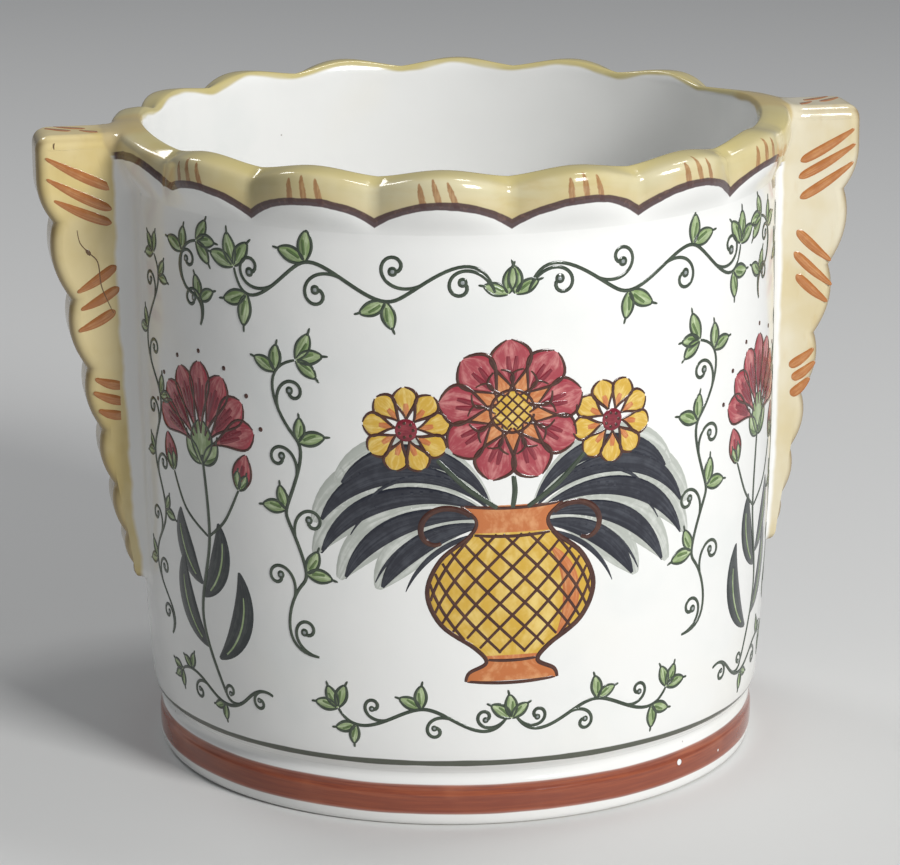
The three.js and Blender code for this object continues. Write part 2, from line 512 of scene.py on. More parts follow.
class GlazeKit:
    """Shader pieces that every glaze on the pot shares."""

    def __init__(self, shader: Shader, colours: GlazeColours) -> None:
        """Makes the signals of a place on the pot.

        Args:
            shader: The shader to build in.
            colours: Colours of the glazes.
        """
        self.shader = shader
        self.colours = colours
        self.x, self.y, self.z = shader.place()
        self.spot = shader.vector(self.x, self.y, self.z)
        self.radius = (self.x * self.x + self.y * self.y).math("SQRT")

    def white(self) -> bpy.types.NodeSocket:
        """Gives tin white with faint cool pools, warm patches and a few kiln specks.

        Returns:
            The colour.
        """
        shader, colours = self.shader, self.colours
        pool = shader.ease(shader.noise(self.spot, 0.035, 3.0), 0.5, 0.75)
        warm = shader.ease(shader.noise(self.spot, 0.021, 2.0, 0.6), 0.55, 0.8)
        colour = shader.mix(pool * 0.3, colours.white, colours.white_pool)
        colour = shader.mix(warm * 0.35, colour, colours.white_warm)
        cells = shader.node("ShaderNodeTexVoronoi", inputs={"Vector": self.spot, "Scale": 0.16})
        rare = shader.ease(shader.split(cells.outputs["Color"])[0], 0.86, 0.9)
        speck = (1 - shader.ease(Signal(shader, cells.outputs["Distance"]), 0.02, 0.05)) * rare
        return shader.mix(speck * 0.6, colour, colours.speck)

    def yellow(self) -> bpy.types.NodeSocket:
        """Gives pale straw glaze, brushed on unevenly so that it breaks from cream to ochre.

        Returns:
            The colour.
        """
        shader, colours = self.shader, self.colours
        streaks = shader.noise(shader.vector(self.x * 0.5, self.y * 0.5, self.z * 1.6), 0.12, 4.0, 0.6)
        clouds = shader.noise(self.spot, 0.05, 3.0, 0.55)
        colour = shader.mix(shader.ease(clouds, 0.35, 0.65), colours.cream, colours.straw)
        return shader.mix(shader.ease(streaks, 0.52, 0.8) * 0.4, colour, colours.ochre)

    def waves(self) -> Signal:
        """Gives the glaze's slow waves and its fine orange peel.

        Returns:
            The height, from 0 to 1.
        """
        shader = self.shader
        slow = shader.noise(self.spot, 0.045, 2.0)
        peel = shader.noise(self.spot, 0.55, 2.0)
        return slow * 0.9 + peel * 0.035


@dataclass(frozen=True)
class ShellGlaze:
    """The shell's finish: white wall, yellow scalloped rim, dark line, ticks and green line."""

    colours: GlazeColours = GlazeColours()
    line_valley: float = 138.6
    line_rise: float = 4.9
    line_half_width: float = 0.86
    left_raise: float = 3.2
    left_span: Span = (2.75, 3.05, 3.3, 3.9)
    right_drop: float = 2.6
    right_span: Span = (2.6, 3.0, 4.3, 4.9)
    handle_drop: float = 4.8
    handle_span: Span = (2.8, 3.35, 4.3, 4.9)
    crest_valley: float = 148.1
    corner_valley: float = 145.9
    corner_lift: float = 2.9
    inner_limit: float = 72.5
    tick_pitch: float = 3.3
    tick_height: float = 5.5
    wide_lobe: float = 18.0
    wide_shift: float = 5.0
    joint_edge: float = 8.6
    green_height: float = 15.4
    green_half_width: float = 0.62

    def material(self) -> bpy.types.Material:
        """Builds the material.

        Returns:
            The material.
        """
        shader = Shader("shell_glaze")
        kit = GlazeKit(shader, self.colours)
        return shader.finish(self.colour(shader, kit), GLAZE_GLOSS, kit.waves(), 0.35)

    def colour(self, shader: Shader, kit: GlazeKit) -> bpy.types.NodeSocket:
        """Gives the shell's colour, which the handles' roots share.

        Args:
            shader: The shader to build in.
            kit: Its shared signals.

        Returns:
            The colour.
        """
        colours = self.colours

        # Places round the pot and across a lobe
        clear = shader.ease(abs(kit.y), self.joint_edge, self.joint_edge + 1.0)
        turn = kit.x.math("ARCTAN2", kit.y * -1.0)
        spin = turn * (FORM.lobe_count / (2 * math.pi))
        lobes = spin + float(FORM.lobe_count)
        handle = abs(abs(spin) - FORM.lobe_count / 4)
        plain = lobes.math("FRACT") * 2.0 - 1.0
        across = plain + (handle - plain) * handle.math("LESS_THAN", 1.0)
        heading = shader.vector(kit.x / MEAN_RADIUS, kit.y / MEAN_RADIUS, 0.0)
        drift = shader.noise(heading, 2.6, 1.0) - 0.5
        tremble = shader.noise(heading, 21.0, 2.0) - 0.5
        weight = shader.noise(heading, 9.0, 1.0)

        # The dark line under the rim
        arch = 1 - across * across
        left = shader.span(spin * -1.0, self.left_span)
        right = shader.span(spin, self.right_span)
        low = shader.span(spin, self.handle_span)
        line = arch * self.line_rise + drift * 2.4 + tremble * 0.5 + self.line_valley
        line = line + left * self.left_raise - right * self.right_drop - low * self.handle_drop
        above = kit.z - line
        steepness = 1 - across * across * 0.17
        off_line = abs(above * steepness)
        outside = shader.ease(kit.radius, self.inner_limit, self.inner_limit + 0.6)
        half = weight * 0.5 + (self.line_half_width - 0.25)
        line_mask = (1 - shader.ease(off_line - half, -0.1, 0.16)) * outside * clear

        # Where the yellow starts outside and ends inside
        crest = arch * arch * FORM.lobe_lift + self.crest_valley
        drip = shader.noise(shader.vector(kit.x, kit.y, kit.z * 0.2), 0.07, 1.5) * 2.4 + 0.2
        inside_yellow = shader.ease(kit.z - crest + drip, -0.3, 0.5)
        outside_yellow = shader.ease(above, -0.1, 0.15)
        yellow_mask = outside_yellow * outside + inside_yellow * (1 - outside)

        # The yellow, deeper just above the line; darker on the rim's top as painted shade, and beside the
        # handles partly as painted shade
        gathered = 1 - shader.ease(above, 0.5, 5.0)
        rim = shader.mix(gathered * 0.25, kit.yellow(), colours.ochre)
        # Painted shade: the rim's top, above its outer corner, takes the darker crest colour
        corner = arch * self.corner_lift + self.corner_valley
        rim = shader.mix(shader.ease(kit.z - corner, -0.3, 1.0) * 0.8, rim, colours.crest)
        # Partly painted shade in the concave saddle between the rim and each handle, partly the glaze's own
        # deeper ochre there
        saddle_ochre_and_shade = (1 - shader.ease(abs(kit.y), 8.0, 13.0)) * shader.ease(kit.z, 143.0, 146.0)
        rim = shader.mix(saddle_ochre_and_shade * 0.45, rim, colours.ochre)
        colour = shader.mix(yellow_mask, kit.white(), rim)

        # Ticks and line over the glazes
        tick, dry = self.ticks(shader, kit, lobes, across, above)
        tick = tick * outside * handle.math("GREATER_THAN", 1.0)
        colour = shader.mix(tick, colour, shader.mix(dry, colours.tick, colours.tick_thin))
        thin = shader.ease(shader.noise(kit.spot, 0.9, 2.0), 0.5, 0.8)
        line_colour = shader.mix(thin * 0.5, colours.line, colours.line_thin)
        colour = shader.mix(line_mask * 0.96, colour, line_colour)

        # The thin green line above the foot
        sag = shader.ease(turn, 0.3, 1.1) * 0.8 + shader.ease(turn * -1.0, 0.3, 1.1) * 0.4
        sag = sag * (1 - shader.ease(abs(turn), 2.0, 2.8)) + drift * 0.4
        green_off = abs(kit.z - self.green_height + sag) - weight * 0.32
        green = 1 - shader.ease(green_off, self.green_half_width - 0.22, self.green_half_width)
        green = green * shader.ease(kit.radius, 69.5, 70.5)
        return shader.mix(green * 0.94, colour, colours.green)

    def ticks(
        self, shader: Shader, kit: GlazeKit, lobes: Signal, across: Signal, above: Signal
    ) -> tuple[Signal, Signal]:
        """Draws three slanting brush ticks on each lobe.

        Args:
            shader: The shader to build in.
            kit: Its shared signals.
            lobes: Lobe count round the pot, with its fraction.
            across: Place across a lobe, from -1 to 1.
            above: Height above the dark line.

        Returns:
            The mask of the ticks, and how dry the brush is.
        """
        name = lobes.math("FLOOR")
        jitter = shader.number("ShaderNodeTexWhiteNoise", {"noise_dimensions": "1D"}, {"W": name})
        half_lobe = math.pi * MEAN_RADIUS / FORM.lobe_count
        up = above - 0.4
        wide = (1 - abs(name - self.wide_lobe)).math("MAXIMUM", 0.0)
        place = across * half_lobe + up * (jitter * 0.22 + 0.04) + jitter * 2.4 - 1.7
        place = place + wide * self.wide_shift
        share = place / self.tick_pitch + 0.5
        which = share.math("FLOOR")
        aside = (share.math("FRACT") - 0.5) * self.tick_pitch + up * which * 0.08
        level = up / self.tick_height + abs(which) * 0.1
        taper = (1 - level).math("MAXIMUM", 0.0).math("POWER", 0.7) * (level * 1.1 + 0.72)
        fuzz = (shader.noise(kit.spot, 1.3, 2.0) - 0.5) * 0.4
        body = 1 - shader.ease(abs(aside) + fuzz - taper * 0.82, -0.1, 0.12)
        three = 1 - shader.ease(abs(which), 1.2, 1.4)
        length = shader.ease(level, -0.1, 0.0) * (1 - shader.ease(level, 0.94, 1.0))
        bristles = shader.vector(kit.x * 2.0, kit.y * 2.0, kit.z * 0.4)
        dry = shader.ease(shader.noise(bristles, 0.9, 2.0), 0.4, 0.7)
        return body * three * length * 0.84, dry


@dataclass(frozen=True)
class FootGlaze:
    """The foot ring's finish: white glaze with a banded red-brown stripe and a bare standing edge."""

    colours: GlazeColours = GlazeColours()
    band_low: float = 2.9
    band_high: float = 9.8
    chips: tuple[tuple[float, float, float], ...] = ((36.3, 6.97, 0.8), (49.3, 5.16, 0.32))

    def material(self) -> bpy.types.Material:
        """Builds the material.

        Returns:
            The material.
        """
        shader = Shader("foot_glaze")
        kit = GlazeKit(shader, self.colours)
        colours = self.colours
        heading = shader.vector(kit.x / MEAN_RADIUS, kit.y / MEAN_RADIUS, 0.0)
        drift = (shader.noise(heading, 3.0, 2.0) - 0.5) * 0.6
        bristles = shader.noise(shader.vector(kit.x * 0.06, kit.y * 0.06, kit.z * 1.5), 1.0, 4.0, 0.65)
        clouds = shader.noise(kit.spot, 0.06, 3.0)
        band = shader.mix(shader.ease(bristles, 0.35, 0.7), colours.band_dark, colours.band)
        band = shader.mix(shader.ease(clouds, 0.52, 0.75) * 0.5, band, colours.band_thin)
        height = kit.z + drift
        # Painted shade: the band darkens about 5.2 mm up, over its lower middle
        middle = 1 - shader.ease(abs(height - 5.2), 0.4, 2.6)
        band = shader.mix(middle * 0.55, band, colours.band_dark)
        inside = shader.ease(height, self.band_low - 0.15, self.band_low + 0.15) * (
            1 - shader.ease(height, self.band_high - 0.2, self.band_high + 0.15)
        )
        thin_edge = 1 - shader.ease(abs(height - (self.band_low + self.band_high) / 2), 2.7, 3.5) * 0.5
        colour = shader.mix(inside * (thin_edge * 0.3 + 0.68), kit.white(), band)
        turn = kit.x.math("ARCTAN2", kit.y * -1.0)
        for place, level, size in self.chips:
            aside, above = (turn - math.radians(place)) * FORM.cove_radius, kit.z - level
            off = (aside * aside + above * above).math("SQRT")
            colour = shader.mix(1 - shader.ease(off, size, size * 1.35), colour, colours.band_dark)
            colour = shader.mix(1 - shader.ease(off, size * 0.75, size), colour, colours.white)
        bare = 1 - shader.ease(kit.z + shader.noise(kit.spot, 0.3, 2.0) * 0.3, 0.15, 0.4)
        colour = shader.mix(bare, colour, colours.clay)
        return shader.finish(colour, bare * 0.55 + GLAZE_GLOSS, kit.waves(), 0.25)


@dataclass(frozen=True)
class HandleGlaze:
    """A wing handle's finish: straw glaze that stops at the joint, where the shell's finish runs on."""

    name: str
    cream: Colour
    straw: Colour
    # Painted shade for the handle's outer side
    edge: Colour = seen(138, 114, 72)
    colours: GlazeColours = GlazeColours()
    tip_reach: float = 75.0
    low_reach: float = 2.2
    high_reach: float = 1.8
    rim_reach: float = 2.0

    def material(self) -> bpy.types.Material:
        """Builds the material.

        Returns:
            The material.
        """
        shader = Shader(self.name)
        kit = GlazeKit(shader, self.colours)
        clouds = shader.noise(kit.spot, 0.055, 3.0, 0.55)
        streaks = shader.noise(shader.vector(kit.x, kit.y * 0.5, kit.z * 0.35), 0.22, 3.0, 0.6)
        glaze = shader.mix(shader.ease(clouds, 0.34, 0.66), self.cream, self.straw)
        glaze = shader.mix(shader.ease(streaks, 0.52, 0.8) * 0.3, glaze, self.colours.ochre)
        # Painted shade: the handle's outer side, between its two faces and below the top, is darkened to the
        # edge colour
        side = 1 - shader.ease(abs(kit.y), 6.6, 7.9)
        glaze = shader.mix(side * (1 - shader.ease(kit.z, 146.6, 148.0)) * 0.75, glaze, self.edge)
        ragged = (shader.noise(shader.vector(kit.x * 0.3, kit.y, kit.z), 0.13, 2.0) - 0.5) * 1.8
        reach = shader.ease(kit.z, 40.0, 66.0) * self.low_reach
        reach = reach + shader.ease(kit.z, 66.0, 118.0) * self.high_reach
        reach = reach + shader.ease(kit.z, 142.0, 147.0) * self.rim_reach + self.tip_reach
        root = 1 - shader.ease(abs(kit.x) + ragged - reach, -0.5, 0.7)
        colour = shader.mix(root, glaze, ShellGlaze(self.colours).colour(shader, kit))
        return shader.finish(colour, GLAZE_GLOSS, kit.waves(), 0.35)


@dataclass(frozen=True)
class BrushPaint:
    """A pigment brushed on under the clear glaze."""

    name: str
    full: Colour
    thin: Colour
    wash: float = 0.5
    pooled_edge: float = 0.4
    core: float = 0.0

    def material(self) -> bpy.types.Material:
        """Builds the material.

        The film's own map gives the place along the stroke and across it, so that the brush's
        streaks run with the stroke and pigment gathers along its edges.

        Returns:
            The material.
        """
        shader = Shader(self.name)
        kit = GlazeKit(shader, GlazeColours())
        brush = shader.node("ShaderNodeUVMap", {"uv_map": "brush"}).outputs[0]
        along, across, _ = shader.split(brush)
        edge = abs(across * 2.0 - 1.0)
        bristles = shader.noise(shader.vector(along * 2.2, across * 7.0, 0.0), 1.0, 3.0, 0.6)
        clouds = shader.noise(kit.spot, 0.32, 3.0, 0.6)
        density = 1 - shader.ease(bristles * 0.6 + clouds * 0.4, 0.42, 0.66) * self.wash
        pooled = shader.ease(edge, 0.55, 0.95) * self.pooled_edge
        middle = (1 - shader.ease(edge, 0.05, 0.45)) * self.core
        density = (density + pooled - middle).math("MAXIMUM", 0.0).math("MINIMUM", 1.0)
        colour = shader.mix(density, self.thin, self.full)
        return shader.finish(colour, GLAZE_GLOSS, kit.waves(), 0.35)


# Meshes


def spin_round(bm: bmesh.types.BMesh, section: list[bmesh.types.BMVert], closed: bool, steps: int) -> None:
    """Joins a section's points and spins it once round the pot's axis.

    Args:
        bm: The mesh that holds the points.
        section: The points in order.
        closed: Whether the last point joins the first.
        steps: How many steps the turn takes.
    """
    after = section[1:] + section[:1] if closed else section[1:]
    edges = [bm.edges.new(pair) for pair in zip(section, after)]
    bmesh.ops.spin(
        bm,
        geom=section + edges,
        cent=(0.0, 0.0, 0.0),
        axis=(0.0, 0.0, 1.0),
        angle=2 * math.pi,
        steps=steps,
        use_merge=True,
    )


@dataclass
class PotShell:
    """The pot's wall, floor and scalloped rim as one continuous glazed shell."""

    form: PotForm = FORM
    turn_steps: int = 288
    wall_steps: int = 36
    rim_steps: int = 4
    cove_steps: int = 3
    corner_steps: int = 5
    floor_steps: int = 6

    def section(self) -> list[SectionPoint]:
        """Gives the section from the axis under the floor round to the axis inside.

        Returns:
            The points, in order.
        """
        form = self.form
        points = [
            SectionPoint(form.spigot_radius * step / self.floor_steps, form.under_floor_recess)
            for step in range(self.floor_steps + 1)
        ]
        points.append(SectionPoint(form.spigot_radius, form.foot_height))
        points += [SectionPoint(radius, height) for radius, height in flow(form.cove_rows, self.cove_steps)]
        points += [
            SectionPoint(form.wall_radius(height), height)
            for height in self.levels(form.wall_start, form.rim_seat)[1:-1]
        ]
        points += form.rim_section(self.rim_steps)
        corner = form.floor_top + form.floor_corner_radius
        points += [
            SectionPoint(form.wall_radius(height) - form.wall_thickness, height)
            for height in reversed(self.levels(corner, form.rim_seat)[1:-1])
        ]
        flat = form.wall_radius(form.wall_start) - form.wall_thickness - form.floor_corner_radius
        points += self.floor_corner(flat, corner)
        points += [
            SectionPoint(flat * (1 - step / self.floor_steps), form.floor_top)
            for step in range(1, self.floor_steps + 1)
        ]
        return points

    def levels(self, low: float, high: float) -> list[float]:
        """Gives evenly spread heights between two levels, ends included."""
        return [low + (high - low) * step / self.wall_steps for step in range(self.wall_steps + 1)]

    def floor_corner(self, radius: float, height: float) -> list[SectionPoint]:
        """Gives the rounded corner between the inner wall and the floor.

        Args:
            radius: Radius of the floor's flat part.
            height: Height where the corner starts.

        Returns:
            The corner's points.
        """
        size = self.form.floor_corner_radius
        points = []
        for step in range(self.corner_steps + 1):
            turn = math.radians(-90 * step / self.corner_steps)
            points.append(SectionPoint(radius + size * math.cos(turn), height + size * math.sin(turn)))
        return points

    def build(self) -> bpy.types.Object:
        """Spins the section and moves it into lobes.

        Returns:
            The shell.
        """
        bm = bmesh.new()
        layers = [bm.verts.layers.float.new(name) for name in ("swell", "lift", "crisp")]
        section = []
        for point in self.section():
            vert = bm.verts.new((0.0, -point.radius, point.height))
            for layer, value in zip(layers, (point.swell, point.lift, point.crisp)):
                vert[layer] = value
            section.append(vert)
        spin_round(bm, section, False, self.turn_steps)
        bmesh.ops.remove_doubles(bm, verts=bm.verts, dist=1e-4)
        for vert in bm.verts:
            self.shape(vert, layers)
        bmesh.ops.recalc_face_normals(bm, faces=bm.faces)
        shell = new_piece("pot_shell", bm, ShellGlaze().material())
        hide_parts("pot_body", "rim_collar")
        return shell

    def shape(self, vert: bmesh.types.BMVert, layers: list) -> None:
        """Moves one vertex to its place on the lobed and slightly uneven surface.

        Args:
            vert: The vertex, at its place on the plain turned shape.
            layers: The vertex layers that hold its swell, lift and crispness.
        """
        radius = math.hypot(vert.co.x, vert.co.y)
        if radius > 0:
            turn = math.atan2(vert.co.x, -vert.co.y)
            swell, lift, crisp = (vert[layer] for layer in layers)
            new_radius, height = self.form.lobed(SectionPoint(radius, vert.co.z, swell, lift, crisp), turn)
            scale = new_radius / radius
            vert.co = Vector((vert.co.x * scale, vert.co.y * scale, height))
        vert.co *= MM


@dataclass
class FootRing:
    """The foot ring, with its swelling banded side."""

    form: PotForm = FORM
    inner: float = 66.1
    edge_radius: float = 0.8
    turn_steps: int = 288
    outline_steps: int = 4
    outline: tuple[Point, ...] = (
        (-1.1, 0.0),
        (-0.5, 0.12),
        (0.0, 0.5),
        (0.38, 1.2),
        (0.62, 2.3),
        (0.75, 3.8),
        (0.8, 5.4),
        (0.78, 6.8),
        (0.7, 7.5),
        (0.5, 8.05),
        (0.38, 8.6),
        (0.38, 9.4),
        (0.28, 10.1),
        (0.0, 10.8),
        (-0.18, 11.4),
        (-0.15, 12.1),
        (0.0, 12.6),
    )

    def build(self) -> bpy.types.Object:
        """Spins the ring's section.

        Returns:
            The ring.
        """
        inner, top = self.inner, self.form.foot_height
        outline = flow(self.outline, self.outline_steps)
        side = [(self.form.cove_radius + aside, height) for aside, height in outline]
        section = [(inner + self.edge_radius, 0.0), *side, (inner, top), (inner, self.edge_radius)]
        bm = bmesh.new()
        verts = [bm.verts.new((0.0, -radius * MM, height * MM)) for radius, height in section]
        spin_round(bm, verts, True, self.turn_steps)
        bmesh.ops.recalc_face_normals(bm, faces=bm.faces)
        for edge in bm.edges:
            level = all(abs(vert.co.z / MM - top) < 1e-3 for vert in edge.verts)
            edge.smooth = not level
        ring = new_piece("foot_ring_glazed", bm, FootGlaze().material())
        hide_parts("foot_ring")
        return ring


class Side(Enum):
    """Which handle: on the +X side or the -X side."""

    RIGHT = 1
    LEFT = -1


HANDLE_GLAZES = {
    Side.RIGHT: HandleGlaze(
        "right_handle_glaze", seen(212, 204, 180), seen(204, 190, 152), low_reach=1.4, high_reach=0.8
    ),
    Side.LEFT: HandleGlaze("left_handle_glaze", seen(224, 206, 154), seen(212, 190, 126)),
}


@dataclass
class WingHandle:
    """A flat wing handle with a scalloped outer edge and glazed fillets along the wall."""

    side: Side
    glaze: HandleGlaze
    form: PotForm = FORM
    top: float = 148.4
    reach: float = 96.5
    thickness: float = 16.0
    edge_radius: float = 3.0
    corner_radius: float = 4.0
    lobe_count: int = 7
    lobe_shrink: float = 0.902
    lobe_bulge: float = 0.125
    shoulder_step: float = 3.5
    shoulder_start: float = 0.78
    tip_height: float = 43.0
    tip_reach: float = 2.6
    tip_turn: float = 2.2
    root: float = 72.2
    root_drop: float = 3.5
    root_top: tuple[Point, ...] = (
        (72.2, 143.0),
        (75.0, 144.2),
        (77.0, 145.6),
        (78.6, 147.2),
        (80.0, 148.1),
        (81.5, 148.4),
    )
    curve_steps: int = 12

    def outline(self) -> list[Point]:
        """Gives the handle's outline, from the root along the top and down the lobes.

        Returns:
            Its points, as distance from the axis and height.
        """
        shares = [self.lobe_shrink**lobe for lobe in range(self.lobe_count)]
        first = (self.top - self.tip_height) / sum(shares)
        tip = (self.form.wall_radius(self.tip_height) + self.tip_reach, self.tip_height)
        shoulder = (self.reach - self.shoulder_step, self.top - first)

        def edge(height: float) -> float:
            """Gives where the straight line through the cusps lies at a height."""
            return tip[0] + (shoulder[0] - tip[0]) * (height - tip[1]) / (shoulder[1] - tip[1])

        corner = self.reach - self.corner_radius
        points = [*self.root_top, (corner, self.top)]
        turned = (self.reach, self.top - self.corner_radius)
        points += self.bend((corner, self.top), (self.reach, self.top), turned)
        waist = (self.reach, self.top - first / 2)
        points += [waist, *self.bend(waist, (self.reach, self.top - first * self.shoulder_start), shoulder)]
        start = shoulder
        for share in shares[1:]:
            fall = first * share
            inward = self.tip_turn if share == shares[-1] else 0.0
            end = (edge(start[1] - fall) - inward, start[1] - fall)
            middle = start[1] - fall / 2
            points += self.bend(start, (edge(middle) + 2 * self.lobe_bulge * fall, middle), end)
            start = end
        points.append((self.root, self.tip_height - self.root_drop))
        return points

    def bend(self, start: Point, pull: Point, end: Point) -> list[Point]:
        """Gives the points of a quadratic curve after its start.

        Args:
            start: Where the curve starts.
            pull: The point that it bends towards.
            end: Where it ends.

        Returns:
            The points.
        """
        points = []
        for step in range(1, self.curve_steps + 1):
            t = step / self.curve_steps
            parts = zip(start, pull, end)
            points.append(tuple((1 - t) ** 2 * a + 2 * t * (1 - t) * b + t * t * c for a, b, c in parts))
        return points

    def build(self) -> list[bpy.types.Object]:
        """Builds the plate and its joint.

        Returns:
            Both pieces.
        """
        name = self.side.name.lower()
        glaze = self.glaze.material()
        plate = new_piece(f"{name}_wing_plate", self.plate(), glaze)
        plate.modifiers.new("even_shading", "WEIGHTED_NORMAL").keep_sharp = True
        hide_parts(f"{name}_wing_handle")
        return [plate, HandleJoint(self).build(glaze)]

    def plate(self) -> bmesh.types.BMesh:
        """Extrudes and rounds the outline.

        Returns:
            The plate's mesh.
        """
        bm = bmesh.new()
        sign = self.side.value
        half = self.thickness / 2
        verts = [bm.verts.new((x * sign * MM, -half * MM, z * MM)) for x, z in self.outline()]
        face = bm.faces.new(verts)
        made = bmesh.ops.extrude_face_region(bm, geom=[face])
        back = [item for item in made["geom"] if isinstance(item, bmesh.types.BMVert)]
        bmesh.ops.translate(bm, verts=back, vec=(0.0, self.thickness * MM, 0.0))
        bmesh.ops.recalc_face_normals(bm, faces=bm.faces)
        limit = (self.root + 0.1) * MM
        rims = [
            edge
            for edge in bm.edges
            if abs(edge.verts[0].co.y - edge.verts[1].co.y) < 1e-6
            and max(abs(vert.co.x) for vert in edge.verts) > limit
        ]
        bmesh.ops.bevel(
            bm,
            geom=rims,
            offset=self.edge_radius * MM,
            offset_type="OFFSET",
            segments=6,
            profile=0.5,
            affect="EDGES",
            material=-1,
            clamp_overlap=False,
        )
        bmesh.ops.recalc_face_normals(bm, faces=bm.faces)
        return bm


@dataclass
class HandleJoint:
    """The glaze that fills the corner all round a handle's root, as one smooth concave ring.

    The ring lies on the smooth union of the pot's skin and the handle's plate.
    """

    handle: WingHandle
    form: PotForm = FORM
    tip_blend: float = 2.6
    wall_blend: float = 5.6
    rim_blend: float = 4.2
    overlap: float = 1.1
    lift: float = 0.02
    dip: float = 0.07
    depth: float = 0.7
    rows: int = 160
    columns: int = 16
    rim_zone: float = 6.0
    rim_steps: int = 4
    outer_stretches: int = 12
    search_from: float = 86.0
    search_rounds: int = 60

    def build(self, glaze: bpy.types.Material) -> bpy.types.Object:
        """Lays the ring.

        Args:
            glaze: The handle's finish.

        Returns:
            The ring.
        """
        bm = bmesh.new()
        made = bmesh.ops.create_grid(bm, x_segments=self.rows, y_segments=self.columns, size=1.0)
        rows = [self.row(index / self.rows) for index in range(self.rows)]
        for vert in made["verts"]:
            row = round((vert.co.x + 1) / 2 * self.rows) % self.rows
            column = round((vert.co.y + 1) / 2 * self.columns)
            vert.co = rows[row][column]
        bmesh.ops.remove_doubles(bm, verts=bm.verts, dist=1e-4)
        sign = self.handle.side.value
        for vert in bm.verts:
            vert.co = Vector((vert.co.x * sign, vert.co.y, vert.co.z)) * MM
        bmesh.ops.recalc_face_normals(bm, faces=bm.faces)
        lowest = min(bm.faces, key=lambda face: face.calc_center_median().y)
        if lowest.normal.y > 0:
            bmesh.ops.reverse_faces(bm, faces=bm.faces)
        ring = new_piece(f"{self.handle.side.name.lower()}_wing_joint", bm, glaze)
        body = ring.modifiers.new("depth", "SOLIDIFY")
        body.thickness = self.depth * MM
        body.offset = -1.0
        return ring

    def on_plate(self, share: float, x: float) -> Vector:
        """Gives a point of the plate's rounded section.

        Args:
            share: Place round the section: up the front, over the top, down the back.
            x: Distance from the pot's axis.

        Returns:
            The point.
        """
        low, high = self.levels(x)
        half = self.handle.thickness / 2
        turn = share * 2 * math.pi
        up = (1 - math.cos(turn)) / 2
        height = low + (high - low) * (3 * up**2 - 2 * up**3)
        spot = Vector((x, -math.copysign(half, math.sin(turn)), height))
        flat = math.sin(turn)
        if min(height - low, high - height) < self.handle.edge_radius:
            spot.y = -math.copysign(half, flat) * min(abs(flat) * 2.2, 1.0)
        gap, away = self.plate_gap(spot)
        return spot - away * gap

    def levels(self, x: float) -> Point:
        """Gives the lowest and highest level of the plate.

        Args:
            x: Distance from the pot's axis.

        Returns:
            Both levels.
        """
        handle = self.handle
        top = interpolate(handle.root_top, x) - max(handle.root - x, 0) * 4
        tip = self.form.wall_radius(handle.tip_height) + handle.tip_reach - handle.tip_turn
        share = min((x - handle.root) / (tip - handle.root), 1.0)
        return (handle.tip_height - handle.root_drop * (1 - share), top)

    def plate_gap(self, spot: Vector) -> tuple[float, Vector]:
        """Measures how far a point is outside the plate.

        Args:
            spot: The point.

        Returns:
            The distance, and the direction away from the plate.
        """
        low, high = self.levels(spot.x)
        edge = self.handle.edge_radius
        aside = abs(spot.y) - self.handle.thickness / 2 + edge
        beyond = abs(spot.z - (low + high) / 2) - (high - low) / 2 + edge
        signs = (math.copysign(1, spot.y), math.copysign(1, spot.z - (low + high) / 2))
        outer = math.hypot(max(aside, 0), max(beyond, 0))
        if outer > 1e-6:
            away = Vector((0, max(aside, 0) * signs[0], max(beyond, 0) * signs[1])) / outer
        elif aside > beyond:
            away = Vector((0, signs[0], 0))
        else:
            away = Vector((0, 0, signs[1]))
        return (outer + min(max(aside, beyond), 0) - edge, away)

    def skin_gap(self, spot: Vector) -> tuple[float, Vector]:
        """Measures how far a point is outside the pot's skin.

        Args:
            spot: The point.

        Returns:
            The distance, and the direction away from the skin.
        """
        radius = math.hypot(spot.x, spot.y)
        turn = math.atan2(spot.x * self.handle.side.value, -spot.y)
        outward = Vector((spot.x, spot.y, 0)) / radius
        if spot.z < self.form.rim_seat - self.rim_zone:
            skin = self.form.wall_radius(spot.z) + self.form.wobble(turn, spot.z)
            return (radius - skin, outward)
        best = (math.inf, outward)
        low = self.form.rim_seat - 2 * self.rim_zone
        base = SectionPoint(self.form.wall_radius(low), low)
        outer = self.form.rim_section(self.rim_steps)[: self.outer_stretches * self.rim_steps + 1]
        outline = [self.form.lobed(point, turn) for point in (base, *outer)]
        for (r0, z0), (r1, z1) in zip(outline, outline[1:]):
            dr, dz = r1 - r0, z1 - z0
            share = ((radius - r0) * dr + (spot.z - z0) * dz) / (dr * dr + dz * dz)
            share = min(max(share, 0.0), 1.0)
            off_r, off_z = radius - r0 - dr * share, spot.z - z0 - dz * share
            distance = math.hypot(off_r, off_z)
            if distance < abs(best[0]):
                sign = 1 if dz * (radius - r0) - dr * (spot.z - z0) > 0 else -1
                length = math.hypot(dr, dz)
                away = outward * (dz / length) + Vector((0, 0, -dr / length))
                best = (distance * sign, away)
        return best

    def blend(self, height: float) -> float:
        """Gives the reach of the smooth union: wide on the wall, narrower at the tip and the rim."""
        low = self.tip_blend + (self.wall_blend - self.tip_blend) * rise(height, 40.0, 80.0)
        return low + (self.rim_blend - low) * rise(height, self.form.rim_seat - 1, self.form.rim_seat + 6)

    def start(self, share: float) -> Vector:
        """Finds where the plate's surface meets the pot's skin.

        Args:
            share: Place round the plate's section.

        Returns:
            The meeting point.
        """
        x = self.search_from
        for _ in range(self.search_rounds):
            gap, _away = self.skin_gap(self.on_plate(share, x))
            if gap < 0.01:
                break
            x -= gap * 0.8
        return self.on_plate(share, max(x, self.handle.root))

